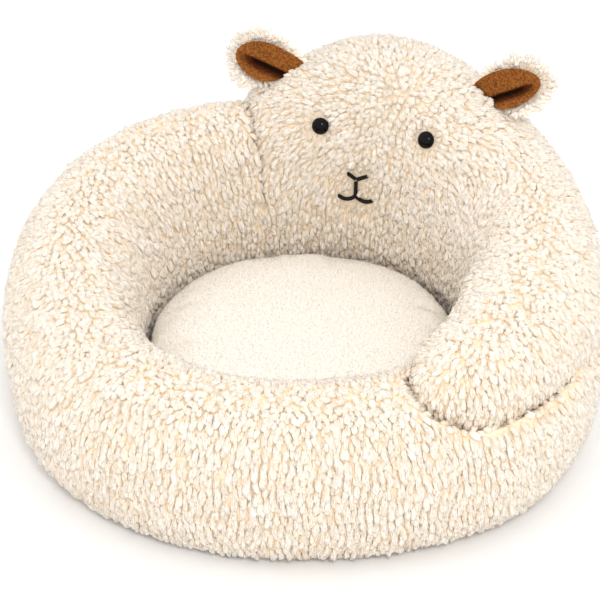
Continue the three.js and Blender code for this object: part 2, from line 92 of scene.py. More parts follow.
VARIANTS = 16             # shades of tuft, side by side in the colour layer
TUFTS_A_PIECE = 2200

THREAD_PITCH = 0.5 * MM
THREAD_RADIUS = 0.3 * MM
STROKE_WIDTH = 3.8 * MM
STROKE_HEIGHT = 1.9 * MM
STITCH_SLANT = 0.5 * MM

EAR_HALF_WIDTH = 22 * MM
EAR_RAISE = 5 * MM        # of the ear's sides
EAR_FRONT_DROP = 5 * MM   # of the ear's skin under its lining
EAR_FOLD = 6 * MM         # depth
EAR_FOLD_SIDE = 3 * MM    # that the fold lies below the ear's middle, at its base
EAR_FOLD_WIDTH = 5 * MM
EAR_MARGIN = 1.0 * MM     # between the lining and the nearest fringe
EAR_DEPTH = 1.5 * MM      # from the ear's skin out to the CAD surface
EAR_VOXEL = 2.5 * MM
OUTLINE_SMOOTHING = 6     # rounds, of the lining's outline
LINING_WIDTH = 0.84       # of the CAD lining's
LINING_STRETCH = 0.2      # of its length, that its base reaches further in
LINING_SINK = 6 * MM      # of the lining's base, into the head
LINING_RISE = 1.2 * MM
LINING_TIP = 3 * MM       # that the velour's tip stands in from the CAD lining's

PRESSURE = 4.0            # in the cushion's cloth simulation
SWELL = 3 * MM            # at most, anywhere
EDGE_PLUMP = 0.05         # of the radius, that the upper edge stands out
SEAM_WIDTH = 3 * MM
SEAM_DEPTH = 2.2 * MM
PUCKERS = 46
PUCKER_DEPTH = 1.6 * MM
CHANNEL_HEIGHT = 6 * MM   # above the cushion's underside, that the zip's channel may change
COIL_PITCH = 1.5 * MM
COIL_OFFSET = 0.75 * MM   # of each side's spiral, from the zip's middle
COIL_REACH = 1.0 * MM     # of its turns, sideways
COIL_MARGIN = 0.35 * MM   # that its line keeps from the CAD bar's faces
COIL_RADIUS = 0.32 * MM
QUILT_PITCH = 56 * MM
QUILT_DEPTH = 3.0 * MM
QUILT_WIDTH = 5 * MM
DOT_PITCH = 14 * MM
DOT_RADIUS = 2.2 * MM
DOT_HEIGHT = 0.8 * MM

STITCHES = ["nose_stitch_left", "nose_stitch_right", "philtrum_stitch",
            "mouth_stitch_left", "mouth_stitch_right"]
BOLSTER_NODES = ["bolster_cover", "bolster_filling"]
LAMB_NODES = ["lamb_cover", "head_filling", "flank_filling", "arm_cover", "arm_filling"]
CUSHION_NODES = ["cushion_top_cover", "cushion_bottom_cover_front", "cushion_bottom_cover_back",
                 "cushion_filling"]
JOINTS = {joint["name"]: joint for joint in frame["joints"]}


# ---- Small helpers ----

def declared(piece, body, coat, replaced=()):
    """Gives a piece its material, puts it under its body if it has one, and hides the CAD parts that it
    replaces.
    """
    piece.data.materials.append(coat)
    if body:
        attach(piece, body)
    if replaced:
        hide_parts(*replaced)


def smoothstep(low, high, x):
    t = np.clip((x - low) / (high - low), 0, 1)
    return t * t * (3 - 2 * t)


def unit(v):
    return v / np.maximum(np.linalg.norm(v, axis=-1, keepdims=True), 1e-9)


def dot(a, b):
    return np.sum(a * b, axis=-1, keepdims=True)


def new_object(name, data):
    piece = bpy.data.objects.new(name, data)
    bpy.context.scene.collection.objects.link(piece)
    return piece


def mesh_of(name, points, faces, smooth=True):
    """A mesh from an array of points and one of triangles or quads."""
    mesh = bpy.data.meshes.new(name)
    faces = np.asarray(faces, dtype=np.int32)
    sides = faces.shape[1]
    mesh.vertices.add(len(points))
    mesh.vertices.foreach_set("co", np.asarray(points, dtype=np.float32).ravel())
    mesh.loops.add(faces.size)
    mesh.loops.foreach_set("vertex_index", faces.ravel())
    mesh.polygons.add(len(faces))
    mesh.polygons.foreach_set("loop_start", np.arange(0, faces.size, sides, dtype=np.int32))
    mesh.polygons.foreach_set("use_smooth", np.full(len(faces), smooth))
    mesh.update(calc_edges=True)
    return mesh


def read(items, value, width, dtype=np.float32):
    """One value of every item of a mesh, as rows of some width."""
    values = np.empty(len(items) * width, dtype=dtype)
    items.foreach_get(value, values)
    return values.reshape(-1, width)


def points_of(mesh):
    return read(mesh.vertices, "co", 3).astype(float)


def normals_of(mesh):
    return read(mesh.vertex_normals, "vector", 3).astype(float)


def triangles_of(mesh):
    mesh.calc_loop_triangles()
    return read(mesh.loop_triangles, "vertices", 3, np.int32)


def set_points(mesh, points):
    mesh.vertices.foreach_set("co", np.asarray(points, dtype=np.float32).ravel())
    mesh.update()


def recoat(node, coat):
    """Gives a CAD node that stays in the model a material of this script."""
    nodes[node].data.materials.clear()
    nodes[node].data.materials.append(coat)


def modified(piece, kind, **settings):
    """Applies one modifier of some kind to a piece."""
    modifier = piece.modifiers.new(kind, kind)
    for name, value in settings.items():
        setattr(modifier, name, value)
    apply_modifiers(piece)


def apply_modifiers(piece):
    graph = bpy.context.evaluated_depsgraph_get()
    mesh = bpy.data.meshes.new_from_object(piece.evaluated_get(graph))
    piece.modifiers.clear()
    piece.data = mesh


def merged(name, parts):
    """One mesh object from several (points, faces)."""
    points, faces, start = [], [], 0
    for part_points, part_faces in parts:
        points.append(part_points)
        faces.append(part_faces + start)
        start += len(part_points)
    return new_object(name, mesh_of(name, np.concatenate(points), np.concatenate(faces)))


def largest_island(piece):
    """Keeps the mesh's connected part with the most points, and drops the rest."""
    mesh = piece.data
    edges = read(mesh.edges, "vertices", 2, np.int32)
    label = np.arange(len(mesh.vertices))
    while True:
        low = np.minimum(label[edges[:, 0]], label[edges[:, 1]])
        before = label.copy()
        np.minimum.at(label, edges[:, 0], low)
        np.minimum.at(label, edges[:, 1], low)
        label = label[label]
        if np.array_equal(before, label):
            break
    names, counts = np.unique(label, return_counts=True)
    kept = label == names[np.argmax(counts)]
    piece.data = part_of(mesh, piece.name, points_of(mesh), kept)


def part_of(mesh, name, points, kept):
    """A mesh of the kept points, and of the faces that have only those."""
    faces = read(mesh.loops, "vertex_index", 1, np.int32).reshape(len(mesh.polygons), -1)
    faces = faces[kept[faces].all(axis=1)]
    return mesh_of(name, points[kept], (np.cumsum(kept) - 1)[faces])


def skin(name, names, depth, smoothing=14, voxel=VOXEL):
    """A smooth closed skin over CAD solids, lying some depth inside their surface."""
    meshes = [nodes[node].data for node in names]
    piece = merged(name, [(points_of(mesh), triangles_of(mesh)) for mesh in meshes])
    modified(piece, "REMESH", mode="VOXEL", voxel_size=voxel)
    largest_island(piece)
    modified(piece, "SMOOTH", factor=0.5, iterations=smoothing)
    set_points(piece.data, points_of(piece.data) - depth * normals_of(piece.data))
    return piece


def ring_angles(sides):
    return np.arange(sides) * 2 * np.pi / sides


def band_faces(sides, rings, start=0):
    """Triangles between rings of points that follow one another."""
    faces = []
    for ring in range(rings - 1):
        for side in range(sides):
            a = start + ring * sides + side
            b = start + ring * sides + (side + 1) % sides
            faces += [(a, b + sides, b), (a, a + sides, b + sides)]
    return faces


def tube_faces(sides, rings, start=0):
    """Triangles of a tube of rings that is closed by a tip."""
    last = start + (rings - 1) * sides
    tip = [(last + side, last + sides, last + (side + 1) % sides) for side in range(sides)]
    return band_faces(sides, rings, start) + tip


def disc(radius, rings, sides, height):
    """Points and faces of a round sheet whose level is height(x, y)."""
    radii = radius * np.arange(1, rings + 1) / rings
    angles = ring_angles(sides)
    x = np.append(0, (radii[:, None] * np.cos(angles)).ravel())
    y = np.append(0, (radii[:, None] * np.sin(angles)).ravel())
    points = np.stack([x, y, height(x, y)], axis=1)
    faces = [(0, 1 + j, 1 + (j + 1) % sides) for j in range(sides)]
    return points, np.array(faces + band_faces(sides, rings, 1))


def thick_disc(name, radius, rings, sides, top, bottom):
    """A closed round sheet between two levels, top(x, y) and bottom(x, y)."""
    upper, faces = disc(radius, rings, sides, top)
    lower, _ = disc(radius, rings, sides, bottom)
    count = len(upper)
    edge = count - sides + np.arange(sides)
    after = np.roll(edge, -1)
    wall = np.concatenate([np.stack([edge, edge + count, after + count], axis=1),
                           np.stack([edge, after + count, after], axis=1)])
    return new_object(name, mesh_of(name, np.concatenate([upper, lower]),
                                    np.concatenate([faces, faces[:, ::-1] + count, wall])))


# ---- Materials ----

def material(name, colour, roughness, sheen=0.0, **sockets):
    m = bpy.data.materials.new(name)
    m.use_nodes = True
    shader = m.node_tree.nodes["Principled BSDF"]
    shader.inputs["Base Color"].default_value = (*colour, 1)
    shader.inputs["Roughness"].default_value = roughness
    shader.inputs["Sheen Weight"].default_value = sheen
    shader.inputs["Sheen Roughness"].default_value = 0.5
    for socket, value in sockets.items():
        shader.inputs[socket.replace("_", " ")].default_value = value
    return m, m.node_tree, shader


def node_of(tree, kind, **settings):
    node = tree.nodes.new("ShaderNode" + kind)
    for name, value in settings.items():
        setattr(node, name, value)
    return node


def ramped(tree, stops, value):
    """The colour that a value has on a ramp."""
    node = node_of(tree, "ValToRGB")
    tree.links.new(value, node.inputs["Fac"])
    ramp = node.color_ramp
    while len(ramp.elements) < len(stops):
        ramp.elements.new(0.5)
    for element, (position, colour) in zip(ramp.elements, stops):
        element.position = position
        element.color = (*colour, 1)
    return node.outputs["Color"]


def maths(tree, operation, value, other=None):
    node = node_of(tree, "Math", operation=operation)
    tree.links.new(value, node.inputs[0])
    if other is not None:
        node.inputs[1].default_value = other
    return node.outputs["Value"]


def multiplied(tree, a, b):
    node = node_of(tree, "Mix", data_type="RGBA", blend_type="MULTIPLY")
    node.inputs["Factor"].default_value = 1.0
    tree.links.new(a, node.inputs["A"])
    tree.links.new(b, node.inputs["B"])
    return node.outputs["Result"]


# painted highlight: the strands are painted paler than the lock that they lie on
STRAND_HIGHLIGHT_STOPS = [(0.0, (0.98, 0.95, 0.90)), (0.8, (1, 1, 1))]
# painted shade: the pile darkens from its pale tip to a warm tan root, standing in for the shade deep in
# the pile
PILE_ROOT_SHADE_STOPS = [(0.0, (0.98, 0.77, 0.52)), (0.3, (0.97, 0.84, 0.68)),
              (0.6, (0.96, 0.88, 0.78)), (1.0, (0.96, 0.915, 0.86))]
# painted shade: the cushion's nap darkens from its pale tip to a tan root
FLEECE_NAP_ROOT_SHADE_STOPS = [(0.0, (0.88, 0.76, 0.60)), (1.0, (0.96, 0.92, 0.85))]
TUFT_SHADES = [(0.0, (0.96, 0.94, 0.91)), (1.0, (1.0, 1.0, 1.0))]
# painted light on the ear's velour: painted shade deep in the fold, and the faces painted darker so that
# the edge stands out as a painted highlight
VELOUR_SHADE_AND_HIGHLIGHT = {"fold": [(0.05, (1, 1, 1)), (0.45, (0.32, 0.24, 0.20)), (0.9, (0.05, 0.035, 0.03))],
                 "edge": [(0.1, (0.66, 0.66, 0.66)), (0.6, (1, 1, 1))]}


def pile_material(name, stops):
    """Pile pale at the tip, with painted shade deepening to a warm tan at its root and painted
    highlights on its strands; each tuft's colour also differs a little at random.
    """
    m, tree, shader = material(name, stops[-1][1], 1.0)
    uv = node_of(tree, "UVMap", uv_map="OFBake")
    split = node_of(tree, "SeparateXYZ")
    tree.links.new(uv.outputs["UV"], split.inputs[0])
    variant = maths(tree, "MULTIPLY", split.outputs["X"], VARIANTS)
    dice = node_of(tree, "TexWhiteNoise", noise_dimensions="1D")
    tree.links.new(maths(tree, "FLOOR", variant), dice.inputs["W"])
    colour = ramped(tree, stops, split.outputs["Y"])
    colour = multiplied(tree, colour, ramped(tree, STRAND_HIGHLIGHT_STOPS, maths(tree, "FRACT", variant)))
    colour = multiplied(tree, colour, ramped(tree, TUFT_SHADES, dice.outputs["Value"]))
    tree.links.new(colour, shader.inputs["Base Color"])
    return m


def grainy(name, stops, scale, roughness, bump, distance, **sockets):
    """A material whose colour and relief follow one fine noise."""
    m, tree, shader = material(name, stops[-1][1], roughness, **sockets)
    place = node_of(tree, "TexCoord")
    grain = node_of(tree, "TexNoise")
    grain.inputs["Scale"].default_value = scale
    grain.inputs["Detail"].default_value = 3
    tree.links.new(place.outputs["Object"], grain.inputs["Vector"])
    tree.links.new(ramped(tree, stops, grain.outputs["Fac"]), shader.inputs["Base Color"])
    relief(tree, shader, grain.outputs["Fac"], bump, distance)
    return m


def relief(tree, shader, height, strength, distance):
    bump = node_of(tree, "Bump")
    bump.inputs["Strength"].default_value = strength
    bump.inputs["Distance"].default_value = distance
    tree.links.new(height, bump.inputs["Height"])
    tree.links.new(bump.outputs["Normal"], shader.inputs["Normal"])


def woven(name, dark, pale, pitch, roughness):
    """A plain weave: two sets of bands across each other in relief, its colour darker in the hollows
    between them as painted shade.
    """
    m, tree, shader = material(name, pale, roughness, sheen=0.2)
    place = node_of(tree, "TexCoord")
    cross = node_of(tree, "Math", operation="ADD")
    for number, direction in enumerate("XY"):
        wave = node_of(tree, "TexWave", bands_direction=direction)
        wave.inputs["Scale"].default_value = math.pi / (10 * pitch)
        wave.inputs["Distortion"].default_value = 0.3
        tree.links.new(place.outputs["Object"], wave.inputs["Vector"])
        tree.links.new(wave.outputs["Fac"], cross.inputs[number])
    height = maths(tree, "MULTIPLY", cross.outputs["Value"], 0.5)
    # painted shade: the colour follows the relief, darker in the weave's hollows
    tree.links.new(ramped(tree, [(0.1, dark), (0.7, pale)], height), shader.inputs["Base Color"])
    relief(tree, shader, height, 0.6, pitch / 2)
    return m


def velour():
    """Brown velour, with painted shade deep in the ear's fold and a painted highlight along the lining's
    edge.
    """
    m = grainy("brown_velour", [(0.35, (0.22, 0.065, 0.012)), (0.65, (0.50, 0.180, 0.040))],
               450, 1.0, 0.5, 0.4 * MM, Specular_IOR_Level=0.1)
    tree = m.node_tree
    base = tree.nodes["Principled BSDF"].inputs["Base Color"]
    colour = base.links[0].from_socket
    for name, stops in VELOUR_SHADE_AND_HIGHLIGHT.items():
        value = node_of(tree, "Attribute", attribute_name=name)
        colour = multiplied(tree, colour, ramped(tree, stops, value.outputs["Fac"]))
    tree.links.new(colour, base)
    return m


PILE = pile_material("ivory_pile", PILE_ROOT_SHADE_STOPS)
FLEECE_NAP = pile_material("cream_nap", FLEECE_NAP_ROOT_SHADE_STOPS)
# painted shade: the skin under the pile is tan, standing in for the shade deep between the tufts, with a
# random grain
SHADED_UNDERCOAT = grainy("ivory_undercoat", [(0.35, (0.94, 0.77, 0.54)), (0.65, (0.97, 0.87, 0.72))],
                   420, 1.0, 0.8, 1.5 * MM)
FLEECE = grainy("cream_fleece",
                [(0.28, (0.86, 0.75, 0.59)), (0.42, (0.93, 0.87, 0.79)), (0.7, (0.96, 0.92, 0.85))],
                520, 1.0, 0.35, 0.5 * MM, sheen=0.2)
VELOUR = velour()
GLOSS = grainy("black_gloss", [(0.3, (0.001, 0.001, 0.001)), (0.7, (0.002, 0.002, 0.002))],
               60, 0.05, 0.0, 0.01 * MM, Specular_IOR_Level=0.16)
THREAD = grainy("black_thread", [(0.3, (0.004, 0.003, 0.003)), (0.7, (0.010, 0.008, 0.007))],
                2500, 0.6, 0.4, 0.1 * MM, Specular_IOR_Level=0.25)
CLEAR = grainy("clear_plastic", [(0.3, (0.72, 0.72, 0.69)), (0.7, (0.78, 0.78, 0.75))],
               300, 0.35, 0.1, 0.1 * MM)
FIBRE = grainy("white_fibre", [(0.3, (0.82, 0.81, 0.77)), (0.7, (0.93, 0.92, 0.89))],
               300, 1.0, 0.7, 1.5 * MM)
NYLON = grainy("cream_nylon", [(0.3, (0.80, 0.71, 0.56)), (0.7, (0.87, 0.79, 0.65))],
               800, 0.4, 0.1, 0.05 * MM)
ENAMEL = grainy("cream_enamel", [(0.3, (0.83, 0.76, 0.62)), (0.7, (0.87, 0.80, 0.67))],
                400, 0.3, 0.05, 0.05 * MM)
RUBBER = grainy("grip_rubber", [(0.3, (0.30, 0.28, 0.25)), (0.7, (0.36, 0.33, 0.30))],
                500, 0.7, 0.2, 0.1 * MM)
TAPE = woven("cream_tape", (0.70, 0.61, 0.47), (0.88, 0.80, 0.66), 0.6 * MM, 0.85)
CANVAS = woven("grey_canvas", (0.30, 0.28, 0.25), (0.46, 0.43, 0.39), 1.0 * MM, 0.9)

# ---- Pile: real tufts, each a small lock of fibre ----

# A tuft is a spindle-shaped lock of fibre with thin strands lying along it. Its rings are evenly
# placed from root to tip, and every tuft has the same triangles. The lock and its strands are
# closed at the tip and open at the root, and the lock's root lies under the skin.
LOCK_SIDES = 5
LOCK_SIZES = np.array([0.55, 0.85, 1.0, 0.88])
TIP_SIZE = 0.35
FLATNESS = 0.85
STRANDS = 6
LOOSE_STRANDS = 0.1       # share of the strands that stand 1 mm further off their lock
STRAND_WIDTH = 1.0 * MM
STRAND_RING = np.array([(-0.5, -0.25), (0.0, 0.45), (0.5, -0.25)])    # across and out
STRAND_SIZES = (0.6, 1.0)
STRAND_SHARES = (0.0, 0.55)           # of its length, where its rings lie
LOCK_POINTS = LOCK_SIDES * len(LOCK_SIZES) + 1
STRAND_POINTS = len(STRAND_RING) * len(STRAND_SIZES) + 1


def tuft_faces():
    faces = tube_faces(LOCK_SIDES, len(LOCK_SIZES))
    for strand in range(STRANDS):
        faces += tube_faces(len(STRAND_RING), len(STRAND_SIZES), LOCK_POINTS + strand * STRAND_POINTS)
    return np.array(faces, dtype=np.int32)


TUFT_FACES = tuft_faces()


def scatter(mesh, spacing, rng):
    """Evenly spread random points on a mesh, with their normals: no two nearer than the spacing."""
    corners, points, normals = triangles_of(mesh), points_of(mesh), normals_of(mesh)
    a, b, c = (points[corners[:, k]] for k in range(3))
    area = np.linalg.norm(np.cross(b - a, c - a), axis=1) / 2
    count = int(5 * area.sum() / spacing ** 2)
    chosen = rng.choice(len(area), count, p=area / area.sum())
    u, v = rng.random(count), rng.random(count)
    flip = u + v > 1
    u[flip], v[flip] = 1 - u[flip], 1 - v[flip]
    weights = np.stack([1 - u - v, u, v], axis=1)[..., None]
    tri = corners[chosen]
    places = (points[tri] * weights).sum(axis=1)
    outward = unit((normals[tri] * weights).sum(axis=1))
    cells = np.floor(places / spacing).astype(int)
    taken, kept = {}, []
    limit = spacing ** 2
    neighbours = [(i, j, k) for i in (-1, 0, 1) for j in (-1, 0, 1) for k in (-1, 0, 1)]
    for index, (cell, place) in enumerate(zip(map(tuple, cells.tolist()), places.tolist())):
        x, y, z = place
        if not any((px - x) ** 2 + (py - y) ** 2 + (pz - z) ** 2 < limit for i, j, k in neighbours
                   for px, py, pz in taken.get((cell[0] + i, cell[1] + j, cell[2] + k), ())):
            taken.setdefault(cell, []).append(place)
            kept.append(index)
    return places[kept], outward[kept]


def comb(places, normals, rng):
    """The way each tuft lies along the surface, and how upright and curly it is, from 0 to 1."""
    hanging = -UP + normals[:, 2:3] * normals
    steep = np.linalg.norm(hanging, axis=1, keepdims=True)
    stray = unit(rng.normal(size=places.shape))
    stray -= dot(stray, normals) * normals
    lie = unit(unit(hanging) * smoothstep(*HANG_SLOPES, steep) + STRAY * stray * (1.15 - steep))
    curly = 1 - smoothstep(*CURL_SLOPES, steep)[:, 0]
    from_whorl = places - WHORL
    away = np.linalg.norm(from_whorl, axis=1)
    radial = from_whorl - dot(from_whorl, normals) * normals
    near = 1 - smoothstep(*WHORL_REACH, away)[:, None]
    lie = unit(lie * (1 - near) + unit(radial) * near + 0.25 * near * stray)
    curly = np.maximum(curly * (1 - near[:, 0]), 1 - 0.8 * smoothstep(0.01, 0.16, away))
    lie = unit(lie - dot(lie, normals) * normals)
    return lie, curly


def grow(places, normals, lie, curly, length, width, rng):
    """The points of all the tufts, as tufts by points by 3, and how far each stands off the skin."""
    count = len(places)
    rings = len(LOCK_SIZES)
    length = length * rng.uniform(0.75, 1.25, count)
    half = width * rng.uniform(0.8, 1.2, count) / 2
    start = np.radians(TUFT_PITCH[0] + TUFT_PITCH[1] * curly + rng.normal(0, 5, count))
    bend = np.radians(TUFT_BEND[0] + TUFT_BEND[1] * curly + rng.normal(0, 8, count))
    sway = np.radians(rng.normal(0, 12, count))
    twist = rng.uniform(0, 2 * np.pi, count)
    side = np.cross(lie, normals)
    spine = np.zeros((count, rings + 1, 3))
    outs = np.empty((count, rings + 1, 3))
    points = np.empty((count, LOCK_POINTS + STRANDS * STRAND_POINTS, 3))
    for k in range(rings + 1):
        at = k / rings
        if k:
            middle = at - 0.5 / rings
            pitch = (start + bend * middle)[:, None]
            yaw = (sway * middle)[:, None]
            ahead = np.cos(pitch) * (np.cos(yaw) * lie + np.sin(yaw) * side) + np.sin(pitch) * normals
            spine[:, k] = spine[:, k - 1] + ahead * (length / rings)[:, None]
        pitch = (start + bend * at)[:, None]
        outs[:, k] = -np.sin(pitch) * lie + np.cos(pitch) * normals
        for j in range(LOCK_SIDES if k < rings else 0):
            angle = twist + j * 2 * np.pi / LOCK_SIDES
            reach = LOCK_SIZES[k] * half * rng.normal(1, 0.07, count)
            points[:, k * LOCK_SIDES + j] = (spine[:, k] + side * (np.cos(angle) * reach)[:, None]
                                             + outs[:, k] * (np.sin(angle) * reach * FLATNESS)[:, None])
    points[:, LOCK_POINTS - 1] = spine[:, rings]

    rows = np.arange(count)
    sizes = np.append(LOCK_SIZES, TIP_SIZE)

    def on_lock(v, across, lift):
        """A point on the lock's outside, with the way out there."""
        f = np.clip(v, 0, 0.999) * rings
        i = f.astype(int)
        t = (f - i)[:, None]
        size = ((1 - t[:, 0]) * sizes[i] + t[:, 0] * sizes[i + 1]) * half
        out = unit((1 - t) * outs[rows, i] + t * outs[rows, i + 1])
        middle = (1 - t) * spine[rows, i] + t * spine[rows, i + 1]
        over = np.sqrt(1 - np.minimum(across ** 2, 0.9)) * size * FLATNESS + lift
        return middle + side * (across * size)[:, None] + out * over[:, None], out

    for strand in range(STRANDS):
        base = LOCK_POINTS + strand * STRAND_POINTS
        across = 0.8 * (2 * strand / (STRANDS - 1) - 1) + rng.normal(0, 0.14, count)
        root = rng.uniform(0.02, 0.4, count)
        tip = root + rng.uniform(0.4, 0.75, count)
        wave = rng.normal(0, 0.3, count)
        for k, share in enumerate(STRAND_SHARES):
            here, out = on_lock(root + (tip - root) * share, across + wave * share,
                                (0.1 + 0.45 * share) * MM * rng.uniform(0.5, 1.5, count))
            size = STRAND_WIDTH * STRAND_SIZES[k]
            for j, (x, z) in enumerate(STRAND_RING):
                points[:, base + k * len(STRAND_RING) + j] = here + side * (x * size) + out * (z * size)
        lift = rng.uniform(-0.2, 0.5, count) + (rng.random(count) < LOOSE_STRANDS)
        points[:, base + STRAND_POINTS - 1] = on_lock(tip, across - 0.6 * wave, lift * MM)[0]
    heights = np.einsum("tpk,tk->tp", points, normals)
    return points + places[:, None, :], heights


# each tuft point's place on the painted strand highlight: the lock lower, its strands higher
TUFT_HIGHLIGHT_TONE = np.append(np.full(LOCK_POINTS, 0.2), np.full(STRANDS * STRAND_POINTS, 0.8))


def coloured(name, points, faces, highlight_tone, along, coat, rng):
    """A mesh of many alike bits, with the colour layer that its material reads."""
    count, size = points.shape[:2]
    every = (faces[None] + (np.arange(count) * size)[:, None, None]).reshape(-1, 3)
    mesh = mesh_of(name, points.reshape(-1, 3), every)
    variant = np.repeat(rng.integers(0, VARIANTS, count), size)
    layer = mesh.uv_layers.new(name="OFBake")
    # u: the bit's random variant plus its place on the painted strand highlight; v: its place on the
    # painted root shade
    uv = np.stack([(variant + np.tile(highlight_tone, count)) / VARIANTS, along.ravel()], axis=1)[every.ravel()]
    layer.uv.foreach_set("vector", uv.astype(np.float32).ravel())
    mesh.materials.append(coat)
    return new_object(name, mesh)


def above_base(points):
    """Lifts the points that hang too low to just above the floor, or above the base panel."""
    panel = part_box("base_panel")[1]
    over_panel = np.hypot(points[..., 0], points[..., 1]) < panel.x + MM
    lowest = np.where(over_panel, panel.z + 0.1 * MM, FLOOR_GAP)
    return np.concatenate([points[..., :2], np.maximum(points[..., 2], lowest)[..., None]], axis=-1)


NAP_FACES = np.array([(0, 1, 3), (1, 2, 3), (2, 0, 3), (0, 2, 1)])
# each hair point's place on its material's painted root shade, from root to tip
NAP_HEIGHTS = np.array([0.2, 0.2, 0.2, 1.0])


def nap(name, base, spacing, length, width, coat, seed, choose=None):
    """Single hairs standing on a skin, leaning at random."""
    rng = np.random.default_rng(seed)
    places, normals = scatter(base.data, spacing, rng)
    if choose is not None:
        kept = choose(places, normals)
        places, normals = places[kept], normals[kept]
    lean = rng.normal(size=places.shape)
    lean = unit(lean - dot(lean, normals) * normals)
    way = unit(lean + 0.5 * normals)
    side = np.cross(way, normals)
    out = np.cross(side, way)
    points = np.empty((len(places), 4, 3))
    for k in range(3):
        angle = 2 * np.pi * k / 3
        corner = side * math.cos(angle) + out * math.sin(angle)
        points[:, k] = places + corner * width / 2 - 0.1 * length * normals
    points[:, 3] = places + way * (length * rng.uniform(0.6, 1.2, len(places)))[:, None]
    points = above_base(points)
    heights = np.tile(NAP_HEIGHTS, len(places))
    return coloured(name, points, NAP_FACES, np.full(4, 0.8), heights, coat, rng)


def fuzz(name, base, seed, choose, spacing=4.0 * MM, length=13 * MM, width=0.55 * MM):
    """Single fine hairs that stand out of the pile."""
    piece = nap(name, base, spacing, length, width, PILE, seed, choose)
    return piece


def in_rows(places, normals):
    """Draws the roots on steep walls sideways into wandering rows, so that the locks hang in ropes."""
    radius = np.hypot(places[:, 0], places[:, 1])
    azimuth = np.arctan2(places[:, 1], places[:, 0])
    inward = normals[:, 0] * places[:, 0] + normals[:, 1] * places[:, 1] < 0
    middle = np.where(inward, *WALL_RADII)
    height = places[:, 2]
    wander = 0.35 * np.sin(height * 95 + 9 * azimuth) + 0.25 * np.sin(height * 41 - 23 * azimuth)
    row = azimuth * np.round(middle * 2 * np.pi / ROW_WIDTH) / (2 * np.pi) + wander
    pull = (np.round(row) - row) * ROW_WIDTH * radius / middle * ROW_PULL
    steep = smoothstep(0.5, 0.85, np.linalg.norm(normals[:, :2], axis=1))
    along = unit(np.cross(UP, normals))
    turn = np.where(inward, -1, 1)
    return places + along * (pull * steep * turn)[:, None]


def plush(name, base, spacing, seed, choose=None, shape=None, rows=True):
    """The pile over a skin. choose(places, normals) picks where it grows; shape alters its tufts."""
    rng = np.random.default_rng(seed)
    places, normals = scatter(base.data, spacing, rng)
    if rows:
        places = in_rows(places, normals)
    keep = (normals[:, 2] > UNDERSIDE) | (places[:, 2] > PILE_START)
    beside_panel = np.hypot(places[:, 0], places[:, 1]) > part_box("base_panel")[1].x
    keep &= (places[:, 2] > 4 * MM) | beside_panel
    if choose is not None:
        keep &= choose(places, normals)
    places, normals = places[keep] - ROOT_DEPTH * normals[keep], normals[keep]
    lie, curly = comb(places, normals, rng)
    length = TUFT_LENGTH[0] + TUFT_LENGTH[1] * curly
    width = TUFT_WIDTH[0] + TUFT_WIDTH[1] * curly
    if shape is not None:
        keep, lie, curly, length, width = shape(places, normals, lie, curly, length, width, rng)
        places, normals, lie = places[keep], normals[keep], lie[keep]
        curly, length, width = curly[keep], length[keep], width[keep]
    points, heights = grow(places, normals, lie, curly, length, width, rng)
    return Pile(name, above_base(points), heights, places, rng)


class Pile:
    """Tufts before they become pieces, so that one skin's pile can be shared among several bodies."""

    def __init__(self, name, points, heights, places, rng):
        self.name, self.points, self.heights, self.places, self.rng = name, points, heights, places, rng

    def pieces(self, chosen=slice(None), name=None):
        """Mesh pieces of at most TUFTS_A_PIECE tufts each."""
        points, heights, pieces = self.points[chosen], self.heights[chosen], []
        for number, start in enumerate(range(0, len(points), TUFTS_A_PIECE), 1):
            part = slice(start, start + TUFTS_A_PIECE)
            # how far each point lies from its painted root shade towards the pale tip
            along = np.clip(heights[part] / ROOT_SHADE_HEIGHT, 0, 1)
            piece = coloured(f"{name or self.name}_{number}", points[part], TUFT_FACES, TUFT_HIGHLIGHT_TONE, along,
                             PILE, self.rng)
            pieces.append(piece)
        return pieces


# ---- The face's trims: eyes and stitches ----

def eye_frame(side):
    """The eye's rim centre and axis, its dome's radius and height, and its stem's radius and length."""
    eye = points_of(nodes[f"{side}_eye"].data)
    washer = points_of(nodes[f"{side}_eye_washer"].data)
    inside = washer.mean(axis=0)
    axis = np.linalg.svd(washer - inside, full_matrices=False)[2][2]
    level = (eye - inside) @ axis
    if level.max() < -level.min():
        axis, level = -axis, -level
    radius = np.linalg.norm(eye - inside - level[:, None] * axis, axis=1)
    rim = level[np.argmax(radius)]
    stem = radius[level < level.min() + MM].max()
    return inside + rim * axis, axis, radius.max(), level.max() - rim, stem, rim - level.min()


def lathed(name, centre, axis, profile, sides=72):
    """A closed solid turned about an axis from a profile of (radius, level), both ends on the axis."""
    a = unit(np.cross(UP, axis))
    b = np.cross(axis, a)
    angles = ring_angles(sides)
    ring = np.cos(angles)[:, None] * a + np.sin(angles)[:, None] * b
    points = [centre + profile[0][1] * axis]
    points += [centre + level * axis + radius * way for radius, level in profile[1:-1] for way in ring]
    points.append(centre + profile[-1][1] * axis)
    mesh = bpy.data.meshes.new(name)
    faces = [(0, 1 + j, 1 + (j + 1) % sides) for j in range(sides)]
    for k in range(len(profile) - 3):
        low = 1 + k * sides
        faces += [(low + j, low + sides + j, low + sides + (j + 1) % sides, low + (j + 1) % sides)
                  for j in range(sides)]
    last = 1 + (len(profile) - 3) * sides
    faces += [(last + j, len(points) - 1, last + (j + 1) % sides) for j in range(sides)]
    mesh.from_pydata([tuple(p) for p in points], [], faces)
    mesh.shade_smooth()
    return new_object(name, mesh)


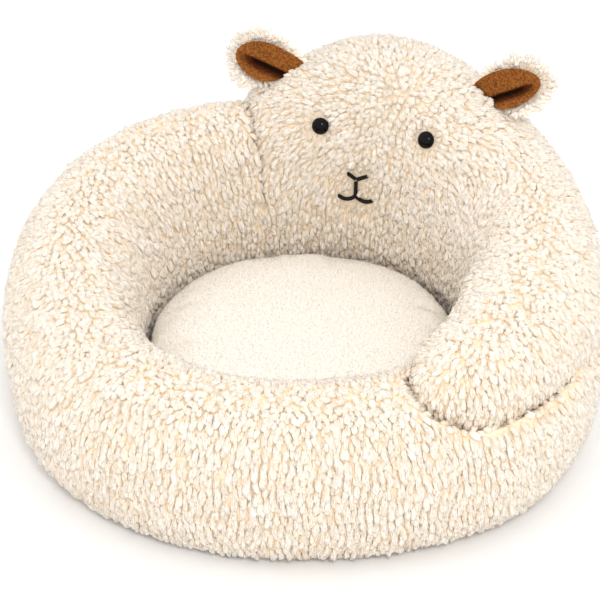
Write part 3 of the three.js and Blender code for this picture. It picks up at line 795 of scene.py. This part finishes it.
def eye_piece(side):
    centre, axis, radius, height, stem, length = EYES[side]
    turns = np.linspace(0, np.pi / 2, 25)
    profile = [(radius * math.sin(t), height * math.cos(t)) for t in turns]
    rolled = 0.5 * MM
    profile += [(radius, -rolled), (radius - rolled, -2 * rolled)]
    profile += [(stem + rolled, -2 * rolled), (stem, -3 * rolled)]
    groove = stem * 0.88
    for rib in np.arange(4 * MM, length - MM, 2 * MM):
        profile += [(stem, -rib), (groove, -rib - 0.3 * MM)]
        profile += [(groove, -rib - 0.8 * MM), (stem, -rib - MM)]
    profile += [(stem, -length + 0.4 * MM), (stem - 0.4 * MM, -length), (0, -length)]
    dome = lathed(f"{side}_eye_dome", centre, axis, profile)
    declared(dome, "root", GLOSS, [f"{side}_eye"])


def centre_line(node):
    """A smooth line through a bar-shaped node, a little past its ends."""
    points = points_of(nodes[node].data)
    middle = points.mean(axis=0)
    along = np.linalg.svd(points - middle, full_matrices=False)[2][0]
    t = (points - middle) @ along
    t = t / np.abs(t).max()
    fit = [np.polyfit(t, points[:, k], 2) for k in range(3)]
    steps = np.linspace(-1.06, 1.06, 49)
    return np.stack([np.polyval(f, steps) for f in fit], axis=1)


def tube(path, radius, sides, up):
    """Points and triangles of a closed tube along a path; up is a way that the path never runs."""
    path = np.asarray(path)
    tangent = unit(np.gradient(path, axis=0))
    side = unit(np.cross(tangent, up))
    out = np.cross(side, tangent)
    angles = ring_angles(sides)
    ring = np.cos(angles)[None, :, None] * side[:, None] + np.sin(angles)[None, :, None] * out[:, None]
    points = (path[:, None] + ring * radius).reshape(-1, 3)
    points = np.concatenate([points, path[:1], path[-1:]])
    faces = [face[::-1] for face in band_faces(sides, len(path))]
    first, last, end = len(points) - 2, len(points) - 1, (len(path) - 1) * sides
    for j in range(sides):
        faces += [(first, (j + 1) % sides, j), (last, end + j, end + (j + 1) % sides)]
    return points, np.array(faces)


def stitch_piece(node, out):
    """Satin stitch: threads laid side by side over the bar, each bowed from edge to edge."""
    line = centre_line(node)
    steps = np.concatenate([[0], np.cumsum(np.linalg.norm(np.diff(line, axis=0), axis=1))])
    count = int(steps[-1] / THREAD_PITCH)
    parts = []
    rng = np.random.default_rng(5)
    for k in range(count + 1):
        at = steps[-1] * k / count
        here, ahead, behind = (np.array([np.interp(at + step, steps, line[:, i]) for i in range(3)])
                               for step in (0, 0.5 * MM, -0.5 * MM))
        tangent = unit(ahead - behind)
        across = unit(np.cross(tangent, out))
        rise = np.cross(across, tangent)
        ends = min(1.0, 0.6 + 2.0 * math.sin(math.pi * min(at, steps[-1] - at) / steps[-1]))
        half = STROKE_WIDTH / 2 * ends * rng.uniform(0.94, 1.06)
        bow = np.radians(np.linspace(-115, 115, 9))
        sine, cosine = np.sin(bow)[:, None], np.cos(bow)[:, None]
        path = here + sine * (across * half + tangent * STITCH_SLANT)
        path += cosine * rise * STROKE_HEIGHT * ends
        parts.append(tube(path, THREAD_RADIUS, 6, tangent))
    declared(merged(node + "_thread", parts), "root", THREAD, [node])
    return line


EYES = {side: eye_frame(side) for side in ("left", "right")}
face_out = unit(EYES["left"][1] + EYES["right"][1])
for side in ("left", "right"):
    eye_piece(side)
    recoat(f"{side}_eye_washer", CLEAR)
strokes = np.concatenate([stitch_piece(node, face_out) for node in STITCHES])
mouth = strokes.mean(axis=0)


def from_point(places, point):
    return np.linalg.norm(places - point, axis=1)


def from_eye(places, eye):
    """Each place's offset from the eye, the part of it square to the eye's axis, and its length."""
    centre, axis = eye[:2]
    offset = places - centre
    flat = offset - (offset @ axis)[:, None] * axis
    return offset, flat, np.linalg.norm(flat, axis=1)


def from_strokes(places):
    """How far each place is from the stitches, seen square to the face."""
    offset = places[:, None] - strokes[None, ::4]
    offset -= (offset @ face_out)[..., None] * face_out
    return np.linalg.norm(offset, axis=2).min(axis=1)


def clear_of_face(places, normals, lie, curly, length, width, rng):
    """Keeps the pile off the eyes and the stitches, and parts it round them."""
    keep = np.ones(len(places), dtype=bool)
    for eye in EYES.values():
        axis, radius = eye[1:3]
        offset, flat, away = from_eye(places, eye)
        near = np.linalg.norm(offset, axis=1) < 4 * radius
        parted = (near * (1 - smoothstep(radius, 2.4 * radius, away)))[:, None]
        lie = unit(lie * (1 - parted) + unit(flat) * 1.2 * parted)
        lie = unit(lie - dot(lie, normals) * normals)
        length = length * (1 - 0.3 * parted[:, 0])
        width = width * (1 - 0.1 * parted[:, 0])
        curly = curly * (1 - parted[:, 0])
        tip = flat + lie * length[:, None]
        keep &= ~(near & (away < 0.9 * radius))
        keep &= ~(near & (np.linalg.norm(tip - dot(tip, axis) * axis, axis=1) < 0.7 * radius))
    reach = from_point(places, mouth) < 50 * MM
    for share in (0.0, 0.5, 1.0):
        along = places[reach] + share * length[reach, None] * lie[reach]
        keep[reach] &= from_strokes(along) > STROKE_WIDTH / 2 + 0.6 * MM
    parted = from_point(places, mouth) < 30 * MM
    length = np.where(parted, 0.75 * length, length)
    width = np.where(parted, 0.8 * width, width)
    return keep, lie, curly, length, width


# ---- The ring, the lamb and its arm ----

bolster = skin("bolster_skin", BOLSTER_NODES, PILE_DEPTH)
declared(bolster, "root", SHADED_UNDERCOAT, BOLSTER_NODES)
for piece in plush("bolster_pile", bolster, TUFT_SPACING, 11).pieces():
    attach(piece, "root")
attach(fuzz("bolster_fuzz", bolster, 41, lambda places, normals: normals[:, 2] > UNDERSIDE), "root")

lamb = skin("lamb_skin", LAMB_NODES, PILE_DEPTH)
hinge = np.array(JOINTS["arm_lift"]["pos_m"])
arm_way = unit(np.cross(np.array(JOINTS["arm_lift"]["axis"]), UP))
if arm_way[1] > 0:
    arm_way = -arm_way
declared(lamb, None, SHADED_UNDERCOAT, LAMB_NODES)


def along_arm(places):
    """How far past the hinge each place lies, towards the arm."""
    return (places - hinge) @ arm_way


def bend(piece):
    """Bakes a piece's place into its mesh, leaving it under no body."""
    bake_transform(piece)


bend(lamb)
pile = plush("lamb_pile", lamb, TUFT_SPACING, 12, shape=clear_of_face)
way = along_arm(pile.places)
for piece in pile.pieces(way < -BEND_REACH):
    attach(piece, "root")
for piece in pile.pieces(way > BEND_REACH, "arm_pile"):
    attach(piece, "arm")
for piece in pile.pieces(np.abs(way) <= BEND_REACH, "shoulder_pile"):
    bend(piece)


def off_face(places):
    """True away from the eyes and the stitches."""
    clear = np.min([from_point(places, eye[0]) for eye in EYES.values()], axis=0) > 24 * MM
    return clear & (from_point(places, mouth) > 30 * MM)


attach(fuzz("lamb_fuzz", lamb, 42, lambda places, normals:
             (along_arm(places) < -BEND_REACH) & (normals[:, 2] > UNDERSIDE) & off_face(places)), "root")
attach(fuzz("arm_fuzz", lamb, 42, lambda places, normals:
             (along_arm(places) > BEND_REACH) & (normals[:, 2] > UNDERSIDE)), "arm")
bend(fuzz("shoulder_fuzz", lamb, 42, lambda places, normals:
          (np.abs(along_arm(places)) <= BEND_REACH) & (normals[:, 2] > UNDERSIDE)))


def bare_spots(places, normals):
    """True round the eyes, along the stitches and at the whorl, where tufts part."""
    spots = from_point(places, WHORL) < 22 * MM
    for eye in EYES.values():
        offset, flat, away = from_eye(places, eye)
        spots |= (np.linalg.norm(offset, axis=1) < 3 * eye[2]) & (away > eye[2])
    near = from_point(places, mouth) < 32 * MM
    spots[near] |= from_strokes(places[near]) > STROKE_WIDTH / 2
    return spots


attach(fuzz("face_fuzz", lamb, 43, bare_spots, spacing=1.3 * MM, length=5 * MM, width=0.9 * MM), "root")


def flank_join(name, seed):
    """A skin that fills the crease between the lamb's flank and the ring, and its pile."""
    bridge = skin(name, [*BOLSTER_NODES, *LAMB_NODES], PILE_DEPTH, smoothing=JOIN_SMOOTHING)
    graph = bpy.context.evaluated_depsgraph_get()
    trees = [BVHTree.FromObject(piece, graph) for piece in (bolster, lamb)]

    def clearance(points):
        """How far each point stands outside both skins."""
        gaps = np.empty((len(points), 2))
        for k, tree in enumerate(trees):
            for i, point in enumerate(points):
                place, normal, _, _ = tree.find_nearest(Vector(point))
                gaps[i, k] = (Vector(point) - place).dot(normal)
        return gaps.min(axis=1)

    points = above_base(points_of(bridge.data))
    azimuth = np.degrees(np.arctan2(points[:, 1], points[:, 0]))
    kept = (azimuth > JOIN_AZIMUTHS[0]) & (azimuth < JOIN_AZIMUTHS[1])
    kept &= np.hypot(points[:, 0], points[:, 1]) > JOIN_RADIUS
    kept[kept] = clearance(points[kept]) > -JOIN_THICKNESS
    bridge.data = part_of(bridge.data, name, points, kept)
    modified(bridge, "SOLIDIFY", thickness=JOIN_THICKNESS, offset=-1)
    declared(bridge, None, SHADED_UNDERCOAT)

    def choose(places, normals):
        kept = normals[:, 2] > UNDERSIDE
        kept[kept] = clearance(places[kept]) > -0.5 * MM
        return kept

    for piece in [bridge, *plush(name + "_pile", bridge, TUFT_SPACING, seed, choose=choose).pieces()]:
        bend(piece)


flank_join("flank_join", 13)


# ---- Ears ----

def ear_frame(side):
    """The ear's hinge, the way out to its tip, the way its lining faces, and the way across it."""
    lining = points_of(nodes[f"{side}_ear_lining"].data)
    back = points_of(nodes[f"{side}_ear_back"].data)
    hinge = np.array(JOINTS[f"{side}_ear_flap"]["pos_m"])
    facing = np.linalg.svd(lining - lining.mean(axis=0), full_matrices=False)[2][2]
    facing = facing * np.sign(facing @ (lining.mean(axis=0) - back.mean(axis=0)))
    along = lining.mean(axis=0) - hinge
    along = unit(along - (along @ facing) * facing)
    return hinge, along, facing, np.cross(facing, along)


def from_fold(t, s, across):
    """How far below the fold's line a point lies; the line runs from the tip to low on the base."""
    down = -np.sign(across[2])
    return s * down - EAR_FOLD_SIDE * (1 - t)


def cupped(points, shape, reach):
    """The ear with its sides raised about a deep fold, which runs out towards its tip."""
    hinge, along, facing, across = shape
    t = (points - hinge) @ along / reach
    s = (points - hinge) @ across
    raised = EAR_RAISE * (np.abs(s) / EAR_HALF_WIDTH) ** 1.5 * (1 - 0.6 * smoothstep(0.4, 1.0, t))
    below = from_fold(t, s, across)
    width = np.where(below > 0, 1, 0.35) * EAR_FOLD_WIDTH
    deep = EAR_FOLD * np.exp(-np.abs(below) / width) * (1 - smoothstep(0.35, 0.85, t))
    return points + (raised - deep)[:, None] * facing


def quadratic_terms(t, s):
    return np.stack([np.ones_like(t), t, s, t * t, t * s, s * s], axis=1)


def leaf(name, node, shape, reach):
    """The lining as one clean closed leaf, from the CAD lining's outline and its curved face."""
    hinge, along, facing, across = shape
    cad = points_of(nodes[node].data) - hinge
    t, s, h = cad @ along, cad @ across, cad @ facing
    terms = quadratic_terms(t, s)
    fit = np.linalg.lstsq(terms, h, rcond=None)[0]
    half = max(np.percentile(np.abs(h - terms @ fit), 95), 0.9 * MM)
    flat = np.stack([t, s], axis=1)
    hull = flat[geometry.convex_hull_2d([tuple(p) for p in flat])]
    centre = (hull.min(axis=0) + hull.max(axis=0)) / 2
    edge = np.roll(hull, -1, axis=0) - hull
    out = unit(np.stack([edge[:, 1], -edge[:, 0]], axis=1))
    gap = ((hull - centre) * out).sum(axis=1)
    out, gap = out * np.sign(gap)[:, None], np.abs(gap)
    turns = ring_angles(180)
    way = np.stack([np.cos(turns), np.sin(turns)], axis=1)
    facing_edge = way @ out.T
    size = np.where(facing_edge > 1e-6, gap / np.maximum(facing_edge, 1e-6), np.inf).min(axis=1)
    for _ in range(OUTLINE_SMOOTHING):
        size = (np.roll(size, 1) + 2 * size + np.roll(size, -1)) / 4
    piece = thick_disc(name, 1.0, 30, 120,
                       lambda x, y: 1 - (x * x + y * y) ** 2, lambda x, y: (x * x + y * y) ** 2 - 1)
    x, y, z = points_of(piece.data).T
    radius, turn = np.hypot(x, y), np.arctan2(y, x) % (2 * np.pi)
    size = np.interp(turn, turns, size, period=2 * np.pi) * radius
    t, s = centre[0] + size * np.cos(turn), centre[1] + size * np.sin(turn)
    h = quadratic_terms(t, s) @ fit + z * half + LINING_RISE
    h = h - LINING_SINK * (1 - smoothstep(-0.15, 0.35, t / reach))
    t = t - LINING_TIP + LINING_STRETCH * (t - reach)
    s = centre[1] + LINING_WIDTH * (s - centre[1])
    set_points(piece.data, hinge + t[:, None] * along + s[:, None] * across + h[:, None] * facing)
    piece.data.shade_smooth()
    return piece


def fold_shade(piece, shape, reach):
    """Two values at each of the lining's points: how deep it lies in the fold, for its painted shade,
    and how near its edge, for its painted highlight.
    """
    points = points_of(piece.data)
    hinge, along, facing, across = shape
    t = (points - hinge) @ along / reach
    below = from_fold(t, (points - hinge) @ across, across)
    width = np.where(below > 0, 1.6, 0.35) * EAR_FOLD_WIDTH
    deep = np.exp(-(below / width) ** 2) * (1 - smoothstep(0.5, 1.0, t))
    edge = 1 - np.abs(normals_of(piece.data) @ facing)
    for name, values in (("fold", deep), ("edge", edge)):
        layer = piece.data.attributes.new(name, "FLOAT", "POINT")
        layer.data.foreach_set("value", values.astype(np.float32))


def lining_gap(places, outline, shape):
    """How far each place is from the lining's nearest point, seen square to it."""
    flat = np.stack([shape[1], shape[3]], axis=1)
    gap = (places @ flat)[:, None] - (outline[::3] @ flat)[None]
    return np.linalg.norm(gap, axis=2).min(axis=1)


def ear(side, seed):
    ear_nodes = [f"{side}_ear_{part}" for part in ("back", "padding")]
    lining_node = f"{side}_ear_lining"
    shape = ear_frame(side)
    hinge, along, facing, across = shape
    reach = ((points_of(nodes[lining_node].data) - hinge) @ along).max()
    plush_skin = skin(f"{side}_ear_skin", ear_nodes, EAR_DEPTH, smoothing=4, voxel=EAR_VOXEL)
    lining = leaf(f"{side}_ear_velour", lining_node, shape, reach)
    outline = points_of(lining.data)
    middle = points_of(nodes[lining_node].data).mean(axis=0)
    places, normals = points_of(plush_skin.data), normals_of(plush_skin.data)
    beyond = lining_gap(places, outline, shape)
    drop = EAR_FRONT_DROP * (1 - smoothstep(1 * MM, 6 * MM, beyond))
    drop = drop * smoothstep(-0.5, 0.1, normals @ facing)
    places = places - drop[:, None] * facing
    set_points(plush_skin.data, cupped(places, shape, reach))
    set_points(lining.data, cupped(outline, shape, reach))
    fold_shade(lining, shape, reach)
    declared(plush_skin, f"{side}_ear", SHADED_UNDERCOAT, ear_nodes)
    declared(lining, f"{side}_ear", VELOUR, [lining_node])

    def choose(places, normals):
        return (normals @ facing < 0.3) | (lining_gap(places, outline, shape) > EAR_MARGIN)

    def shaped(places, normals, lie, curly, length, width, rng):
        spread = places - middle
        spread = unit(spread - dot(spread, facing) * facing)
        rim = 1 - np.abs(normals @ facing)
        stray = unit(rng.normal(size=places.shape))
        lie = spread + 0.4 * along + 0.25 * stray - 0.9 * rim[:, None] * facing
        lie = unit(lie - dot(lie, normals) * normals)
        tips = places + 7 * MM * lie
        clear = (normals @ facing < -0.3) | (lining_gap(tips, outline, shape) > 0.5 * MM)
        curly, width = np.full(len(places), 0.25), np.full(len(places), EAR_TUFT_WIDTH)
        return clear, lie, curly, (9 - 2.5 * rim) * MM, width

    fringe = plush(f"{side}_ear_pile", plush_skin, EAR_TUFT_SPACING, seed,
                   choose=choose, shape=shaped, rows=False)
    # moves the ear fringe's painted root shade towards the pale tip
    fringe.heights = 1.4 * fringe.heights + 3.5 * MM
    for piece in fringe.pieces():
        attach(piece, f"{side}_ear")


ear("left", 21)
ear("right", 22)

# ---- Cushion ----

def inflated(piece, pressure, cap, frames=20):
    """Swells a closed mesh as cloth under pressure, no point going further than the cap."""
    before = points_of(piece.data)
    cloth = piece.modifiers.new("cloth", "CLOTH")
    cloth.settings.use_pressure = True
    cloth.settings.uniform_pressure_force = pressure
    cloth.settings.effector_weights.gravity = 0
    cloth.point_cache.frame_start = 1
    cloth.point_cache.frame_end = frames
    scene = bpy.context.scene
    for number in range(1, frames + 1):
        scene.frame_set(number)
    apply_modifiers(piece)
    scene.frame_set(1)
    moved = points_of(piece.data) - before
    far = np.linalg.norm(moved, axis=1, keepdims=True)
    set_points(piece.data, before + moved * np.minimum(1, cap / np.maximum(far, 1e-9)))


cushion = skin("cushion_body", CUSHION_NODES, 0.5 * MM, smoothing=1)
inflated(cushion, PRESSURE, SWELL)
modified(cushion, "SUBSURF", levels=1, render_levels=1)
cushion.data.shade_smooth()
underside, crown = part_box("cushion_bottom_cover_front")[0].z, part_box("cushion_top_cover")[1].z
seam_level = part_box("cushion_top_cover")[0].z
rim_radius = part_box("cushion_top_cover")[1].x
tape_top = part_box("zip_tape_front")[1].z
zip_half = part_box("zip_pull")[1].x


def cushion_finish(points):
    """The perimeter seam drawn in and puckered, and the channel that the zip lies in."""
    x, y, z = points.T
    radius = np.hypot(x, y)
    azimuth = np.arctan2(y, x)
    near = np.exp(-((z - seam_level) / SEAM_WIDTH) ** 2) * smoothstep(0.8, 0.95, radius / rim_radius)
    pucker = np.cos(PUCKERS * azimuth + 2 * np.sin(5 * azimuth)) * 0.25 + np.cos(31 * azimuth) * 0.15
    wide = np.exp(-((z - seam_level) / (3 * SEAM_WIDTH)) ** 2)
    drawn = SEAM_DEPTH * near + PUCKER_DEPTH * wide * pucker
    high = smoothstep(0, 1, (z - seam_level) / (crown - seam_level))
    plump = EDGE_PLUMP * smoothstep(0.6, 1, radius / rim_radius) * high
    full = np.minimum(radius * (1 + plump), rim_radius + MM)
    points = points.copy()
    points[:, :2] *= ((full - drawn) / np.maximum(radius, MM))[:, None]
    points[:, 2] = np.clip(points[:, 2], underside + 0.1 * MM, crown)
    return points


set_points(cushion.data, cushion_finish(points_of(cushion.data)))


def zip_channel(piece):
    """Cuts a finer band along the zip and lifts it above the tapes."""
    mesh = bmesh.new()
    mesh.from_mesh(piece.data)

    def beside_zip(v, across, beyond):
        low = v.co.z < underside + CHANNEL_HEIGHT
        return low and abs(v.co.y) < across and abs(v.co.x) < zip_half + beyond

    for width in (9 * MM, 7 * MM):
        band = [e for e in mesh.edges if all(beside_zip(v, width, width) for v in e.verts)]
        bmesh.ops.subdivide_edges(mesh, edges=band, cuts=1, use_grid_fill=True)
    for v in mesh.verts:
        if beside_zip(v, 6 * MM, 4 * MM):
            inside = 1 - float(smoothstep(4.2 * MM, 5.6 * MM, abs(v.co.y)))
            inside *= 1 - float(smoothstep(zip_half, zip_half + 2 * MM, abs(v.co.x)))
            v.co.z = max(v.co.z, underside + inside * (tape_top + 0.8 * MM - underside))
    bmesh.ops.triangulate(mesh, faces=mesh.faces)
    mesh.to_mesh(piece.data)
    mesh.free()
    piece.data.shade_smooth()


zip_channel(cushion)
declared(cushion, "cushion", FLEECE, CUSHION_NODES)
fleece_nap = nap("cushion_nap", cushion, 2.1 * MM, 3.2 * MM, 1.0 * MM, FLEECE_NAP, 31,
                 lambda places, normals: places[:, 2] > underside + 4 * MM)
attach(fleece_nap, "cushion")

# ---- Zip ----

def coil_side(side, low, high, length):
    """One side's nylon coil, a flattened spiral whose turns interlock with the other side's."""
    turns = int(length / COIL_PITCH)
    t = np.linspace(0, turns, turns * 12 + 1)
    phase = 2 * np.pi * t
    x = -length / 2 + COIL_PITCH * t + side * COIL_PITCH / 4
    y = side * COIL_OFFSET + COIL_REACH * np.cos(phase)
    z = (low + high) / 2 + ((high - low) / 2 - COIL_MARGIN) * np.sin(phase)
    return tube(np.stack([x, y, z], axis=1), COIL_RADIUS, 5, np.array([1.0, 0, 0]))


coil_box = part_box("zip_coil")
coil = merged("zip_coil_spiral", [coil_side(side, coil_box[0].z, coil_box[1].z, 2 * coil_box[1].x)
                                  for side in (-1, 1)])
declared(coil, "cushion", NYLON, ["zip_coil"])
for node in ("zip_tape_front", "zip_tape_back"):
    recoat(node, TAPE)


def plate(name, outline, low, high, bevel):
    """A flat plate with rounded edges, from an outline of (x, y)."""
    mesh = bmesh.new()
    bottom = [mesh.verts.new((x, y, low)) for x, y in outline]
    face = mesh.faces.new(bottom)
    made = bmesh.ops.extrude_face_region(mesh, geom=[face])
    for item in made["geom"]:
        if isinstance(item, bmesh.types.BMVert):
            item.co.z = high
    bmesh.ops.recalc_face_normals(mesh, faces=mesh.faces)
    data = bpy.data.meshes.new(name)
    mesh.to_mesh(data)
    mesh.free()
    piece = new_object(name, data)
    modified(piece, "BEVEL", width=bevel, segments=3, limit_method="ANGLE")
    piece.data.shade_smooth()
    return piece


slider_low, slider_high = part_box("zip_slider")
nose_x, tail_x = slider_low.x, slider_high.x
half = slider_high.y
half_outline = [(tail_x, 0.75 * half), (tail_x - 2 * MM, half),
                (nose_x + 3 * MM, half), (nose_x, 0.6 * half)]
slider = plate("zip_slider_body", [*((x, -y) for x, y in half_outline[::-1]), *half_outline],
               slider_low.z, slider_low.z + 1.1 * MM, 0.3 * MM)
rails = []
for side in (-1, 1):
    inner, outer = side * (half - 1.3 * MM), side * half
    outline = [(nose_x + MM, inner), (tail_x - MM, inner), (tail_x - MM, outer), (nose_x + MM, outer)]
    rails.append(plate(f"rail{side}", outline, slider_low.z + 0.4 * MM, slider_high.z, 0.3 * MM))
arch_t = np.linspace(0, np.pi, 17)
arch = np.stack([(nose_x + tail_x) / 2 + 4.2 * MM * np.cos(arch_t), 0 * arch_t,
                 slider_low.z + 0.5 * MM - 0.15 * MM * np.sin(arch_t)], axis=1)
arch_piece = merged("arch", [tube(arch, 0.55 * MM, 8, np.array([0, 1.0, 0]))])


def fused(piece, others):
    """Joins the other objects' meshes into the piece."""
    mesh = bmesh.new()
    for part in [piece, *others]:
        mesh.from_mesh(part.data)
    mesh.to_mesh(piece.data)
    mesh.free()
    for part in others:
        bpy.data.objects.remove(part)
    piece.data.shade_smooth()


fused(slider, [*rails, arch_piece])
declared(slider, "slider", ENAMEL, ["zip_slider"])

pull_low, pull_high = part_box("zip_pull")


def pull_outline():
    """A tongue with a round end."""
    wide, end = pull_high.y, pull_high.x
    turns = np.linspace(-np.pi / 2, np.pi / 2, 13)
    round_end = [(end - wide + wide * math.cos(t), wide * math.sin(t)) for t in turns]
    return [(pull_low.x, -0.6 * wide), (pull_low.x + 5 * MM, -0.8 * wide), *round_end,
            (pull_low.x + 5 * MM, 0.8 * wide), (pull_low.x, 0.6 * wide)]


pull = plate("zip_pull_tongue", pull_outline(), pull_low.z, pull_high.z, 0.25 * MM)
declared(pull, "slider", ENAMEL, ["zip_pull"])

# ---- Underside, pad and well floor ----

def quilt(x, y):
    """How far the well floor dips: stitched lines that cross in diamonds, and the drawn-in edge."""
    dip = np.zeros_like(x)
    for way in (np.pi / 4, -np.pi / 4):
        across = x * math.cos(way) + y * math.sin(way)
        nearest = np.abs((across / QUILT_PITCH + 0.5) % 1 - 0.5) * QUILT_PITCH
        dip = np.maximum(dip, QUILT_DEPTH * np.exp(-nearest / QUILT_WIDTH))
    return dip


floor_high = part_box("well_floor")[1]
well = thick_disc("well_floor_quilt", floor_high.x, 110, 220,
                  lambda x, y: floor_high.z - quilt(x, y),
                  lambda x, y: floor_high.z - 0.9 * MM - quilt(x, y))
declared(well, "root", FLEECE, ["well_floor"])

pad_low, pad_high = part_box("base_pad")


def pad_edge(x, y):
    """How far the pad's rounded rim draws in its faces."""
    return 2 * MM * smoothstep(0.93, 1.0, np.hypot(x, y) / pad_high.x)


pad = thick_disc("base_pad_foam", pad_high.x, 40, 120,
                 lambda x, y: pad_high.z - quilt(x, y) - pad_edge(x, y),
                 lambda x, y: pad_low.z + pad_edge(x, y))
declared(pad, "root", FIBRE, ["base_pad"])

panel_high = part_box("base_panel")[1]
panel = thick_disc("base_fabric", panel_high.x, 60, 180,
                   lambda x, y: np.full_like(x, panel_high.z), lambda x, y: np.full_like(x, DOT_HEIGHT))


def grip_dots(radius):
    """Low rubber domes in staggered rows under the base."""
    row_pitch = DOT_PITCH * 0.866
    rows = int(radius / row_pitch)
    spots = [((i + 0.5 * (j % 2)) * DOT_PITCH, j * row_pitch)
             for j in range(-rows, rows + 1) for i in range(-rows - 1, rows + 1)]
    spots = np.array([spot for spot in spots if math.hypot(*spot) < radius - DOT_PITCH])
    sides = 10
    angles = ring_angles(sides)
    ring = np.stack([np.cos(angles), np.sin(angles)], axis=1)
    levels = [(1.0, DOT_HEIGHT + 0.1 * MM), (0.9, DOT_HEIGHT * 0.4), (0.5, 0.06 * MM)]
    one = np.concatenate([np.column_stack([ring * DOT_RADIUS * size, np.full(sides, z)])
                          for size, z in levels] + [[(0, 0, 0.0)]])
    faces = np.array(tube_faces(sides, len(levels)) + [(0, j, j + 1) for j in range(1, sides - 1)])
    points = one[None] + np.column_stack([spots, np.zeros(len(spots))])[:, None]
    every = faces[None] + (np.arange(len(spots)) * len(one))[:, None, None]
    return points.reshape(-1, 3), every.reshape(-1, 3)


declared(panel, "root", CANVAS, ["base_panel"])
declared(merged("grip_dots", [grip_dots(panel_high.x)]), "root", RUBBER)

# ---- Floor, light and camera ----

def add_floor():
    size = 12.0
    points = [(-size, -size, 0), (size, -size, 0), (size, size, 0), (-size, size, 0)]
    floor = new_object("floor", mesh_of("floor", points, [(0, 1, 2, 3)], smooth=False))
    floor.data.materials.append(material("pale_floor", (0.92, 0.915, 0.91), 0.9)[0])


def add_area(name, place, aim, size, energy):
    light = bpy.data.lights.new(name, "AREA")
    light.shape = "DISK"
    light.size = size
    light.energy = energy
    lamp = new_object(name, light)
    lamp.location = place
    lamp.rotation_euler = (Vector(aim) - Vector(place)).to_track_quat("-Z", "Y").to_euler()


def add_lights():
    world = bpy.data.worlds.new("studio")
    bpy.context.scene.world = world
    world.use_nodes = True
    background = world.node_tree.nodes["Background"]
    background.inputs["Color"].default_value = (1, 1, 1, 1)
    background.inputs["Strength"].default_value = 1.1
    add_area("key", (0.18, -1.70, 1.62), (0.03, 0, 0.12), 0.4, 15)
    add_area("top", (-0.5, 0.2, 2.6), (0, 0, 0.1), 2.6, 2)


def add_camera():
    camera = bpy.data.cameras.new("camera")
    camera.sensor_width = 36
    camera.lens = CAMERA["lens"]
    eye = new_object("camera", camera)
    tilt = math.radians(CAMERA["elevation"])
    back = Vector((0, -math.cos(tilt), math.sin(tilt)))
    eye.location = Vector(CAMERA["target"]) + back * CAMERA["distance"]
    eye.rotation_euler = (-back).to_track_quat("-Z", "Y").to_euler()
    bpy.context.scene.camera = eye


add_floor()
add_lights()
add_camera()
bpy.context.scene.view_settings.view_transform = "Standard"
